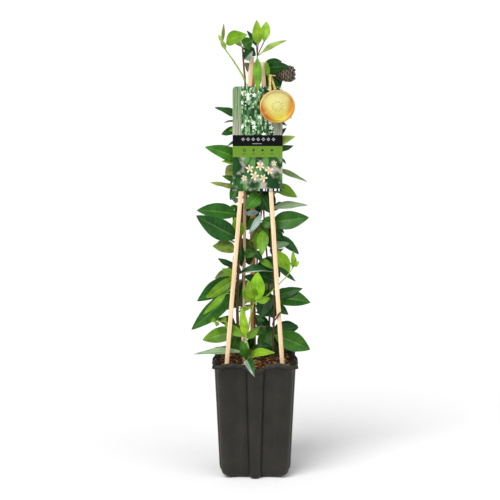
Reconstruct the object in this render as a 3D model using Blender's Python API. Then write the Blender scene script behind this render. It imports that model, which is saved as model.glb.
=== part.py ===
"""A star jasmine climbing a tripod of split canes, in a deep square nursery pot with a ribbed side.

Metres, +Z up. The origin is the middle of the pot's underside, and -Y is the side with the label.
"""

import math
import random

import bmesh
import bpy
from mathutils import Matrix, Vector
from mathutils.bvhtree import BVHTree

MM = 0.001
GAP = 0.3 * MM  # kept between pieces that touch

# Pot: half widths are from the middle to the flat of a corner
POT_FOOT_HALF = 51.0 * MM
POT_NECK_HALF = 58.0 * MM
POT_NECK_HEIGHT = 168.0 * MM
POT_WALL = 1.5 * MM
POT_FLOOR = 2.5 * MM
POT_CORNER = 10.0 * MM
RIB_TOP_HALF = 14.2 * MM
RIB_FOOT_HALF = 9.3 * MM
RIB_STAND = 4.9 * MM
CREASE_DEPTH = 3.8 * MM
FLANK_DIP = 2.2 * MM
LIP_HALF = 65.0 * MM
LIP_FLARE = 0.8 * MM
LIP_BAND = 6.0 * MM
RIM_HEIGHT = 178.0 * MM
RIM_CREST = 6.2 * MM
CORNER_WAVE = 0.5
RIM_SAG = 2.5 * MM
FOOT_LIFT = 4.6 * MM
FOOT_FLAT_HALF = 40.0 * MM
DRAIN_RADIUS = 4.5 * MM
DRAIN_OUT = 27.0 * MM

SOIL_TOP = 172.0 * MM
SOIL_ROUGH = 1.5 * MM
STEM_HOLE_DEPTH = 20.0 * MM

# Canes: width and thickness, and how deep each stands in the soil
CANE_SIZE = (6.6 * MM, 5.2 * MM)
BACK_CANE_SIZE = (8.4 * MM, 5.2 * MM)
CANE_SUNK = 60.0 * MM
STARTER_SIZE = (4.4 * MM, 3.6 * MM)
TIE_RADIUS = 0.6 * MM
TIE_HEIGHT = 594.5 * MM

# Label card
CARD_SIZE = (75.0 * MM, 157.0 * MM)
CARD_THICK = 0.6 * MM
CARD_MIDDLE = Vector((3.6, -15.3, 519.0)) * MM
CARD_LEAN = math.radians(3.9)
CARD_CORNER = 5.0 * MM
CARD_HOLE_RADIUS = 2.1 * MM
CARD_HOLE_DOWN = 6.3 * MM
RING_RADIUS = 4.6 * MM
RING_WIRE = 0.5 * MM

# Gold disc and its strap, and the cone ornament
DISC_RADIUS = 26.5 * MM
DISC_TALL = 0.97
DISC_THICK = 3.0 * MM
DISC_RIM = 2.6 * MM
DISC_MIDDLE = Vector((33.0, -23.6, 568.8)) * MM
DISC_LEAN = math.radians(22.0)
STRAP_WIDTH = 3.4 * MM
STRAP_THICK = 0.8 * MM
CONE_LENGTH = 30.0 * MM
CONE_RADIUS = 15.2 * MM
CONE_FOOT = Vector((30.0, -15.0, 614.0)) * MM
CONE_TIP = Vector((57.0, -19.0, 618.0)) * MM
STALK_FOOT = Vector((20.5, -11.0, 613.2)) * MM
STALK_RADIUS = 0.9 * MM
CONE_SCALES = 9
CONE_ROWS = 8
CONE_RELIEF = 0.9 * MM

# Leaves and stems
BLADE_THICK = 0.7 * MM
BLADE_STATIONS = (0.15, 0.39, 0.65, 0.87)
SHORT_STATIONS = (0.2, 0.56, 0.86)
SHORT_BLADE = 40.0 * MM
STALK_HALF = 0.8 * MM
SHORTEST_STALK = 2.5 * MM
EDGE_WAVE = 0.9 * MM
FOLD = 0.16
CLEARANCE = 0.5 * MM
STEM_STEP = 22.0 * MM
ROOT_NUDGE = 0.3 * MM  # keeps the roots of leaves at one place from only just touching
UNION_TRIES = 12
WELD = 0.001 * MM
FAN = 15.0  # millimetres, as the leaves' rows
FAN_BELOW = 52.0
FAN_WIDTH = 11.0
SIDEWAYS = 0.32
SEED = 11

# Where the front view is seen from: spots on one sight line share their across and up
SIGHT_DISTANCE = 2.887
SIGHT_HEIGHT = 0.86

COLOURS = {
    "pot_plastic": (0.042, 0.037, 0.031, 0.45, 0.0),
    "potting_soil": (0.045, 0.02, 0.01, 0.95, 0.0),
    "split_cane": (0.82, 0.62, 0.38, 0.7, 0.0),
    "old_leaf": (0.035, 0.13, 0.03, 0.4, 0.0),
    "young_leaf": (0.25, 0.5, 0.06, 0.45, 0.0),
    "card": (0.2, 0.4, 0.12, 0.35, 0.0),
    "gold": (0.85, 0.55, 0.15, 0.3, 0.6),
    "dark_cone": (0.04, 0.03, 0.025, 0.7, 0.0),
    "dark_wire": (0.03, 0.035, 0.025, 0.5, 0.2),
}


def clear_scene():
    for old in list(bpy.data.objects):
        bpy.data.objects.remove(old, do_unlink=True)


clear_scene()
part = bpy.data.collections.new("potted_star_jasmine")
cutters = bpy.data.collections.new("cutters")
bpy.context.scene.collection.children.link(part)
bpy.context.scene.collection.children.link(cutters)


def finish(name):
    """The material of this name, made once."""
    made = bpy.data.materials.get(name)
    if made is None:
        red, green, blue, rough, metal = COLOURS[name]
        made = bpy.data.materials.new(name)
        made.use_nodes = True
        shader = made.node_tree.nodes["Principled BSDF"]
        shader.inputs["Base Color"].default_value = (red, green, blue, 1.0)
        shader.inputs["Roughness"].default_value = rough
        shader.inputs["Metallic"].default_value = metal
    return made


def placed(name, data, material, collection=part):
    """A new object in a collection, with its material if it has one."""
    made = bpy.data.objects.new(name, data)
    collection.objects.link(made)
    if material:
        data.materials.append(finish(material))
    return made


def from_bmesh(name, bm, material, collection=part):
    """The same for a bmesh, which is used up."""
    mesh = bpy.data.meshes.new(name)
    bmesh.ops.recalc_face_normals(bm, faces=bm.faces)
    bm.to_mesh(mesh)
    bm.free()
    return placed(name, mesh, material, collection)


def as_cutter(made):
    """Shown as a wire frame and left out of renders."""
    made.hide_render = True
    made.display_type = "WIRE"
    return made


def evaluated_mesh(made):
    depsgraph = bpy.context.evaluated_depsgraph_get()
    return bpy.data.meshes.new_from_object(made.evaluated_get(depsgraph))


def settled(made):
    """Modifiers applied, and their cutters no longer needed."""
    bpy.context.view_layer.update()
    mesh = evaluated_mesh(made)
    made.modifiers.clear()
    made.data = mesh
    return made


def cut(made, tool, operation="DIFFERENCE", solver="EXACT"):
    boolean = made.modifiers.new(tool.name, "BOOLEAN")
    boolean.object = tool
    boolean.operation = operation
    boolean.solver = solver
    return boolean


def wire(name, points, radius, material, closed=False, sides=1, radii=None, collection=part):
    """A round wire, stem or tube through the points, as a mesh."""
    curve = bpy.data.curves.new(name, "CURVE")
    curve.dimensions = "3D"
    curve.bevel_depth = radius
    curve.bevel_resolution = sides
    curve.use_fill_caps = not closed
    spline = curve.splines.new("POLY")
    spline.points.add(len(points) - 1)
    spline.use_cyclic_u = closed
    for number, point in enumerate(points):
        spline.points[number].co = (*point, 1.0)
        spline.points[number].radius = radii[number] if radii else 1.0
    guide = placed(name + "_line", curve, None, collection)
    bpy.context.view_layer.update()
    mesh = evaluated_mesh(guide)
    bpy.data.objects.remove(guide, do_unlink=True)
    bm = bmesh.new()
    bm.from_mesh(mesh)
    bmesh.ops.remove_doubles(bm, verts=bm.verts, dist=1e-6)
    return from_bmesh(name, bm, material, collection)


def smooth_line(knots, step):
    """Points along a smooth curve through the knots, about a step apart."""
    line = []
    ends = [knots[0] * 2 - knots[1], *knots, knots[-1] * 2 - knots[-2]]
    for before, start, end, after in zip(ends, ends[1:], ends[2:], ends[3:]):
        count = max(1, round((end - start).length / step))
        for number in range(count):
            t = number / count
            line.append(0.5 * (2 * start + (end - before) * t
                               + (2 * before - 5 * start + 4 * end - after) * t ** 2
                               + (3 * start - before - 3 * end + after) * t ** 3))
    return line + [knots[-1]]


def spot(across, up, depth):
    """A place given in millimetres as seen from the front, at a depth behind the pot's middle."""
    near = 1 + depth * MM / SIGHT_DISTANCE
    return Vector((across * MM * near, depth * MM, SIGHT_HEIGHT + (up * MM - SIGHT_HEIGHT) * near))


# Pot. Half of one side's outline, from its corner to the crest of its rib: how far each place
# follows the rib, the crease, the flank, the rim's wave and the foot's lift.
SIDE = {
    "start": (0.0, 0.0, 0.0, CORNER_WAVE, 1.0),
    "flank": (0.0, 0.45, 1.0, 1.0, 1.0),
    "crease": (0.0, 1.0, 0.0, 0.25, 0.9),
    "shoulder": (0.72, 0.0, 0.0, -0.7, 0.35),
    "crest": (1.0, 0.0, 0.0, -1.0, 0.0),
}
FLANK_AT = 0.58
SHOULDER_AT = 0.62


def side_points(half, rib_half, corner, stand, dip):
    """Along, outward, rim wave and foot lift of one side's points, from left to right."""
    flat = half - corner
    along = {"start": flat, "flank": flat * FLANK_AT + rib_half * 0.3, "crease": rib_half,
             "shoulder": rib_half * SHOULDER_AT, "crest": 0.0}
    right = []
    for name, (rib, crease, flank, wave, lift) in SIDE.items():
        out = half + rib * stand - dip * (crease * CREASE_DEPTH + flank * FLANK_DIP)
        right.append((along[name], out, wave, lift))
    return [(-place, *rest) for place, *rest in right] + right[-2::-1]


def ring(bm, height, half, rib_half, corner, stand=0.0, dip=0.0, wave=0.0, lift=0.0, inset=0.0):
    """One turn of the pot's outline as vertices of bm."""
    half -= inset
    corner = max(corner - inset, 1.0 * MM)
    rows = side_points(half, rib_half - inset * 0.4, corner, stand, dip)
    turn = []
    for quarter in range(4):
        spin = Matrix.Rotation(quarter * math.pi / 2, 3, "Z")
        for along, out, wavy, lifted in rows:
            rise = (RIM_CREST if wavy > 0 else RIM_SAG) * wavy * wave + lifted * lift
            turn.append(bm.verts.new(spin @ Vector((along, -out, height + rise))))
        for part_way in (1, 2):
            angle = math.pi / 6 * part_way
            flat = half - corner
            rise = RIM_CREST * CORNER_WAVE * wave + lift
            bend = Vector((flat + corner * math.sin(angle), -flat - corner * math.cos(angle),
                           height + rise))
            turn.append(bm.verts.new(spin @ bend))
    return turn


def bridge(bm, lower, upper):
    """A band between two turns, always split the same way, so that nested walls stay apart."""
    count = len(lower)
    for number in range(count):
        after = (number + 1) % count
        bm.faces.new((lower[number], lower[after], upper[after]))
        bm.faces.new((lower[number], upper[after], upper[number]))


def pot_half(height):
    return POT_FOOT_HALF + (POT_NECK_HALF - POT_FOOT_HALF) * height / POT_NECK_HEIGHT


def rib_half_at(height):
    return RIB_FOOT_HALF + (RIB_TOP_HALF - RIB_FOOT_HALF) * height / POT_NECK_HEIGHT


def make_pot():
    bm = bmesh.new()
    low, edge = 9.0 * MM, 2.4 * MM
    turns = [
        ring(bm, 0.0, FOOT_FLAT_HALF, RIB_FOOT_HALF, POT_CORNER),
        ring(bm, 0.2 * MM, POT_FOOT_HALF - 4.5 * MM, RIB_FOOT_HALF, POT_CORNER - 2 * MM,
             stand=RIB_STAND * 0.7, dip=0.5, lift=FOOT_LIFT * 0.75),
        ring(bm, edge, POT_FOOT_HALF - 1.0 * MM, RIB_FOOT_HALF, POT_CORNER,
             stand=RIB_STAND * 0.85, dip=0.9, lift=FOOT_LIFT),
        ring(bm, low, pot_half(low), rib_half_at(low), POT_CORNER, stand=RIB_STAND * 0.8, dip=1.0,
             lift=FOOT_LIFT * 0.5),
        ring(bm, POT_NECK_HEIGHT, POT_NECK_HALF, RIB_TOP_HALF, POT_CORNER, stand=RIB_STAND, dip=1.0,
             wave=0.8),
        ring(bm, RIM_HEIGHT - LIP_BAND - 0.6 * MM, LIP_HALF - 2.2 * MM, RIB_TOP_HALF, POT_CORNER,
             stand=1.5 * MM, dip=0.7, wave=0.9),
        ring(bm, RIM_HEIGHT - LIP_BAND, LIP_HALF + LIP_FLARE * 0.5, RIB_TOP_HALF, POT_CORNER,
             stand=1.0 * MM, dip=0.7, wave=1.0),
        ring(bm, RIM_HEIGHT, LIP_HALF - LIP_FLARE, RIB_TOP_HALF, POT_CORNER, stand=1.6 * MM, dip=0.7,
             wave=1.0),
        ring(bm, RIM_HEIGHT, LIP_HALF - LIP_FLARE, RIB_TOP_HALF, POT_CORNER, stand=1.6 * MM, dip=0.7,
             wave=1.0,
             inset=POT_WALL),
        ring(bm, POT_NECK_HEIGHT, POT_NECK_HALF, RIB_TOP_HALF, POT_CORNER, stand=RIB_STAND, dip=1.0,
             wave=0.8,
             inset=POT_WALL),
        ring(bm, low, pot_half(low), rib_half_at(low), POT_CORNER, stand=RIB_STAND * 0.8, dip=1.0,
             lift=FOOT_LIFT * 0.5, inset=POT_WALL),
        ring(bm, POT_FLOOR + 5.2 * MM, POT_FOOT_HALF - 6.5 * MM, RIB_FOOT_HALF, POT_CORNER - 2 * MM,
             dip=0.3),
    ]
    for lower, upper in zip(turns, turns[1:]):
        bridge(bm, lower, upper)
    bm.faces.new(list(reversed(turns[0])))
    bm.faces.new(turns[-1])
    pot = from_bmesh("pot", bm, "pot_plastic")
    for quarter in range(4):
        angle = math.pi / 4 + quarter * math.pi / 2
        drill = bmesh.new()
        bmesh.ops.create_cone(drill, cap_ends=True, segments=8, radius1=DRAIN_RADIUS, radius2=DRAIN_RADIUS,
                              depth=30 * MM,
                              matrix=Matrix.Translation((DRAIN_OUT * math.cos(angle),
                                                         DRAIN_OUT * math.sin(angle), 0)))
        cut(pot, as_cutter(from_bmesh(f"drain_{quarter + 1}", drill, None, cutters)))
    return pot


# Soil: a block that fills the pot, with a crumbly top and a plain hole for each cane and stem
def make_soil(holes):
    random.seed(SEED)
    bm = bmesh.new()
    inside = POT_WALL + GAP * 2.4
    low = 12.0 * MM
    floor = POT_FLOOR + 5.2 * MM + GAP * 1.4
    turns = [
        ring(bm, floor, POT_FOOT_HALF - 8.5 * MM, RIB_FOOT_HALF, POT_CORNER - 2 * MM, dip=0.5),
        ring(bm, low, pot_half(low), rib_half_at(low), POT_CORNER, stand=RIB_STAND * 0.8, dip=1.0,
             lift=FOOT_LIFT * 0.5, inset=inside + GAP),
        ring(bm, SOIL_TOP - 6 * MM, pot_half(SOIL_TOP - 6 * MM), RIB_TOP_HALF, POT_CORNER,
             stand=RIB_STAND, dip=1.0,
             inset=inside),
    ]
    for lower, upper in zip(turns, turns[1:]):
        bridge(bm, lower, upper)
    bm.faces.new(list(reversed(turns[0])))
    for share, rise in ((0.97, 0.0), (0.66, 1.0), (0.3, 1.0)):
        turn = []
        for corner in turns[-1] if share == 0.97 else turns[2]:
            wide = Vector((corner.co.x * share, corner.co.y * share, SOIL_TOP - 2 * MM * (share > 0.9)))
            wide.z += random.uniform(-1, 1) * SOIL_ROUGH * rise
            turn.append(bm.verts.new(wide))
        bridge(bm, turns[-1], turn)
        turns.append(turn)
    bm.faces.new(turns[-1])
    bmesh.ops.triangulate(bm, faces=[f for f in bm.faces if len(f.verts) > 4])
    soil = from_bmesh("soil", bm, "potting_soil")
    for hole in holes:
        cut(soil, hole)
    return soil


# Canes: split square sticks that lean together
def stick(name, foot, head, size, sunk, material="split_cane", collection=part, spare=0.0):
    """A square stick from below foot to head; spare makes it thicker and longer, as a cutter."""
    lean = (head - foot).normalized()
    start = foot - lean * (sunk + spare)
    length = (head - start).length + (spare > 0) * 5 * MM
    bm = bmesh.new()
    bmesh.ops.create_cube(bm, size=1.0)
    bmesh.ops.scale(bm, vec=(size[0] + 2 * spare, size[1] + 2 * spare, length), verts=bm.verts)
    if not spare:
        bmesh.ops.bevel(bm,
                        geom=[e for e in bm.edges if abs(e.verts[0].co.z - e.verts[1].co.z) > length / 2],
                        offset=1.0 * MM, segments=1, profile=0.5, affect="EDGES", material=-1)
    turned = Vector((0, 0, 1)).rotation_difference(lean).to_matrix().to_4x4()
    bmesh.ops.transform(bm, matrix=Matrix.Translation(start + lean * length / 2) @ turned, verts=bm.verts)
    return from_bmesh(name, bm, material, collection)


CANES = {
    "cane_front_left": (spot(-43.5, 172, -36), spot(-4.8, 641, -2)),
    "cane_front_right": (spot(41.5, 172, -36), spot(10.6, 633, -2)),
    "cane_back": (spot(-2.6, 172, 40), spot(-4.8, 632, 9)),
}
STARTER = (spot(-17.5, 172, 6), spot(-15.5, 452, 9))


def make_canes():
    holes = []
    for name, (foot, head) in CANES.items():
        size = BACK_CANE_SIZE if name == "cane_back" else CANE_SIZE
        stick(name, foot, head, size, CANE_SUNK)
        holes.append(as_cutter(stick(name + "_hole", foot, foot + (head - foot) * 0.06, size, CANE_SUNK,
                                     None, cutters, GAP)))
    foot, head = STARTER
    stick("starter_cane", foot, head, STARTER_SIZE, STEM_HOLE_DEPTH)
    holes.append(as_cutter(stick("starter_hole", foot, foot + (head - foot) * 0.08, STARTER_SIZE,
                                 STEM_HOLE_DEPTH, None, cutters, GAP)))
    return holes


def cane_at(name, height):
    foot, head = CANES[name]
    return foot + (head - foot) * (height - foot.z) / (head.z - foot.z)


def make_tie():
    """Wire bent round the three canes just under the card's top edge."""
    reach = CANE_SIZE[0] / 2 + TIE_RADIUS + GAP
    far = BACK_CANE_SIZE[0] / 2 + TIE_RADIUS + GAP
    deep = CANE_SIZE[1] / 2 + TIE_RADIUS + GAP
    left = cane_at("cane_front_left", TIE_HEIGHT)
    right = cane_at("cane_front_right", TIE_HEIGHT)
    back = cane_at("cane_back", TIE_HEIGHT)
    bends = (left + Vector((-reach * 0.55, -deep, 0)), right + Vector((reach * 0.55, -deep, 0)),
             right + Vector((reach, -deep * 0.5, 0)), right + Vector((reach, deep * 0.7, 0)),
             back + Vector((far, deep * 0.5, 0)), back + Vector((far * 0.75, deep * 1.05, 0)),
             back + Vector((-far * 0.75, deep * 1.05, 0)), back + Vector((-far, deep * 0.5, 0)),
             left + Vector((-reach, deep * 0.7, 0)), left + Vector((-reach, -deep * 0.5, 0)))
    return wire("cane_tie", bends, TIE_RADIUS, "dark_wire", closed=True)


# Label card, hung on a ring from its hole
def make_card():
    wide, tall = CARD_SIZE
    outline = [(-wide / 2, -tall / 2), (wide / 2, -tall / 2)]
    for side in (1, -1):
        for step in range(4):
            angle = math.pi / 6 * (step if side > 0 else 3 - step)
            outline.append((side * (wide / 2 - CARD_CORNER + CARD_CORNER * math.cos(angle)),
                            tall / 2 - CARD_CORNER + CARD_CORNER * math.sin(angle)))
    bm = bmesh.new()
    face = bm.faces.new([bm.verts.new((x, 0, z)) for x, z in outline])
    walls = bmesh.ops.extrude_face_region(bm, geom=[face])["geom"]
    back = [v for v in walls if isinstance(v, bmesh.types.BMVert)]
    bmesh.ops.translate(bm, vec=(0, CARD_THICK, 0), verts=back)
    bmesh.ops.translate(bm, vec=(0, -CARD_THICK / 2, 0), verts=bm.verts)
    card = from_bmesh("label_card", bm, "card")
    drill = bmesh.new()
    bmesh.ops.create_cone(drill, cap_ends=True, segments=12, radius1=CARD_HOLE_RADIUS,
                          radius2=CARD_HOLE_RADIUS,
                          depth=6 * MM, matrix=Matrix.Translation((0, 0, tall / 2 - CARD_HOLE_DOWN))
                          @ Matrix.Rotation(math.pi / 2, 4, "X"))
    hole = as_cutter(from_bmesh("card_hole", drill, None, cutters))
    for piece in (card, hole):
        piece.location = CARD_MIDDLE
        piece.rotation_euler = (-CARD_LEAN, 0, 0)
    cut(card, hole)
    return card


def make_ring():
    """The ring stands across the card, through its hole and over its top edge."""
    top = CARD_SIZE[1] / 2 - CARD_HOLE_DOWN + CARD_HOLE_RADIUS - RING_WIRE - GAP
    turned = Matrix.Rotation(-CARD_LEAN, 3, "X")
    out = 1.5 * MM
    middle = Vector((0, out, top + math.sqrt(RING_RADIUS ** 2 - out ** 2)))
    points = []
    for number in range(12):
        angle = number * math.pi / 6
        around = Vector((0, RING_RADIUS * math.cos(angle), RING_RADIUS * math.sin(angle)))
        points.append(CARD_MIDDLE + turned @ (middle + around))
    return wire("card_ring", points, RING_WIRE, "dark_wire", closed=True)


# Gold disc: a turned profile with a raised rim on its front
def make_disc():
    half = DISC_THICK / 2
    rim = DISC_RADIUS - DISC_RIM
    profile = [(0.0, half - 0.9 * MM), (rim - 1.2 * MM, half - 0.9 * MM), (rim, half),
               (DISC_RADIUS - 0.6 * MM, half), (DISC_RADIUS, half - 0.6 * MM), (DISC_RADIUS, -half), (0.0, -half)]
    bm = bmesh.new()
    verts = [bm.verts.new((x, 0, z)) for x, z in profile]
    edges = [bm.edges.new(pair) for pair in zip(verts, verts[1:])]
    bmesh.ops.spin(bm, geom=verts + edges, cent=(0, 0, 0), axis=(0, 0, 1), steps=28, angle=math.tau,
                   use_merge=True)
    bmesh.ops.remove_doubles(bm, verts=bm.verts, dist=1e-6)
    stand = Matrix.Translation(DISC_MIDDLE) @ Matrix.Rotation(math.pi / 2 - DISC_LEAN, 4, "X")
    bmesh.ops.transform(bm, matrix=stand @ Matrix.Diagonal((1, DISC_TALL, 1, 1)), verts=bm.verts)
    return from_bmesh("gold_disc", bm, "gold")


def ribbon(bm, line, width, thick):
    """A flat strap along a line of points, its width turned along the second vector of each point."""
    rows = []
    for number, (point, broad) in enumerate(line):
        before = line[max(number - 1, 0)][0]
        after = line[min(number + 1, len(line) - 1)][0]
        broad = broad.normalized()
        flat = (after - before).normalized().cross(broad).normalized()
        rows.append([bm.verts.new(point + broad * width / 2 * a + flat * thick / 2 * b)
                     for a, b in ((-1, -1), (1, -1), (1, 1), (-1, 1))])
    for lower, upper in zip(rows, rows[1:]):
        bridge(bm, lower, upper)
    bm.faces.new(rows[0])
    bm.faces.new(list(reversed(rows[-1])))


def rim_spot(degrees):
    """A place just off the disc's edge, at an angle from its top."""
    angle = math.radians(degrees)
    out = DISC_RADIUS + STRAP_THICK
    up = math.cos(angle) * DISC_TALL
    return DISC_MIDDLE + Vector((math.sin(angle), math.sin(DISC_LEAN) * up, math.cos(DISC_LEAN) * up)) * out


def make_strap():
    """Two legs from the disc's top edge to a bend over the cone's stalk."""
    broad = Vector((1, -0.45, 0))
    over = STALK_FOOT.lerp(CONE_FOOT, 0.24)
    reach = STALK_RADIUS + GAP + STRAP_THICK / 2
    line = [(rim_spot(-23), Vector((1, 0, 0)))]
    line.append((over + Vector((-0.8 * MM, -reach * 1.2, -3 * MM)), broad))
    for degrees in (-75, -25, 25, 75):
        angle = math.radians(degrees)
        line.append((over + Vector((0, math.sin(angle), math.cos(angle))) * reach * 1.15, broad))
    line.append((over + Vector((1.2 * MM, reach * 1.1, -3 * MM)), broad))
    line.append((rim_spot(-6), Vector((1, 0, 0))))
    bm = bmesh.new()
    ribbon(bm, line, STRAP_WIDTH, STRAP_THICK)
    return from_bmesh("disc_strap", bm, "gold")


# Cone ornament: rows of pointed scales in relief on a club shape, with a stalk
def make_cone():
    bm = bmesh.new()
    bmesh.ops.create_uvsphere(bm, u_segments=CONE_SCALES * 2, v_segments=CONE_ROWS, radius=1.0)
    for vert in bm.verts:
        along = (1 + vert.co.z) / 2
        angle = math.atan2(vert.co.y, vert.co.x)
        row = round(math.acos(max(-1.0, min(1.0, vert.co.z))) / math.pi * CONE_ROWS)
        club = math.sqrt(max(0.0, 1 - (2 * along - 1) ** 2)) ** 0.7 * (0.35 + 0.65 * along ** 0.8)
        swell = CONE_RELIEF * math.cos(CONE_SCALES * angle + row * math.pi) if 0 < row < CONE_ROWS else 0.0
        radius = club * CONE_RADIUS + swell
        vert.co = Vector((radius * math.cos(angle), radius * math.sin(angle), along * CONE_LENGTH))
    axis = (CONE_TIP - CONE_FOOT).normalized()
    turned = Vector((0, 0, 1)).rotation_difference(axis).to_matrix().to_4x4()
    bmesh.ops.transform(bm, matrix=Matrix.Translation(CONE_FOOT) @ turned, verts=bm.verts)
    bmesh.ops.triangulate(bm, faces=bm.faces)
    cone = from_bmesh("cone_ornament", bm, "dark_cone")
    stalk = wire("cone_stalk", [STALK_FOOT, CONE_FOOT, CONE_FOOT + axis * 2.5 * MM], STALK_RADIUS, None,
                 collection=cutters)
    cut(cone, as_cutter(stalk), "UNION", "MANIFOLD")
    settled(cone)
    bpy.data.objects.remove(stalk, do_unlink=True)
    return cone


# Stems: node name, then each stem's route as across, up and depth in millimetres, and its thickness
STEMS = {
    "vine_left": [((-24, 158, -8), (-25, 200, -10), (-27, 240, -14), (-27, 280, -16), (-25, 330, -14),
                   (-22, 365, -9), (-21, 400, -5), (-23, 440, -1), (-23, 480, 3), (-22, 520, 4),
                   (-19, 560, 3), (-15, 597, 0), (-17, 625, -2), (-19, 655, -4), 2.4)],
    "vine_right": [((28, 158, 9), (28, 200, 6), (29, 250, 2), (29, 290, -2), (27, 330, -6), (24, 370, -5),
                    (23, 410, -3), (24, 450, 1), (26, 490, 3), (25, 530, 4), (23, 565, 3), (20.5, 600, -5),
                    (19.6, 613, -10), (17, 622, -4), (15.5, 625, 6), (10, 628, 9), 1.7)],
    "vine_middle": [((2, 158, 10), (0, 200, 12), (-1, 250, 10), (1, 300, 4), (3, 335, -2), (-1, 348, -5),
                     (-8, 359, -7), (-2, 371, -9), (4, 381, -10), (9, 400, -8), (9, 421, -4), (6, 460, 2),
                     (3, 510, 4), (2, 560, 3), (3, 600, 1), (3, 625, 0), (3, 642, -3), 1.5)],
    "vine_back_left": [((-20, 158, 24), (-22, 220, 27), (-19, 300, 27), (-15, 380, 27), (-11, 460, 26),
                        (-10, 540, 22), (-12, 600, 18), 1.6)],
    "vine_back_right": [((18, 158, 27), (22, 230, 30), (20, 310, 29), (14, 390, 27), (11, 470, 26),
                         (12, 545, 22), 1.6)],
    "front_shoot": [((-10, 158, -28), (-10.5, 184, -29), (-11, 196, -29), (-14.5, 211, -29),
                     (-10, 225, -29), (-8, 240, -29), (-5, 252, -28), (-2.5, 264, -27), 1.8),
                    ((-2.5, 264, -27), (15, 273, -21), (27, 284, -15), (38, 295, -14), (50, 308, -18),
                     (58, 320, -20), 1.1),
                    ((-14.5, 211, -29), (-28, 220, -20), (-43, 233, -18), (-60, 237, -20), 1.0)],
    "top_left_shoot": [((-15.4, 603, -3.2), (-17, 609, -7), (-30, 631, -12), (-47, 655, -18),
                        (-48.5, 662, -18), 1.5)],
}

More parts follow.
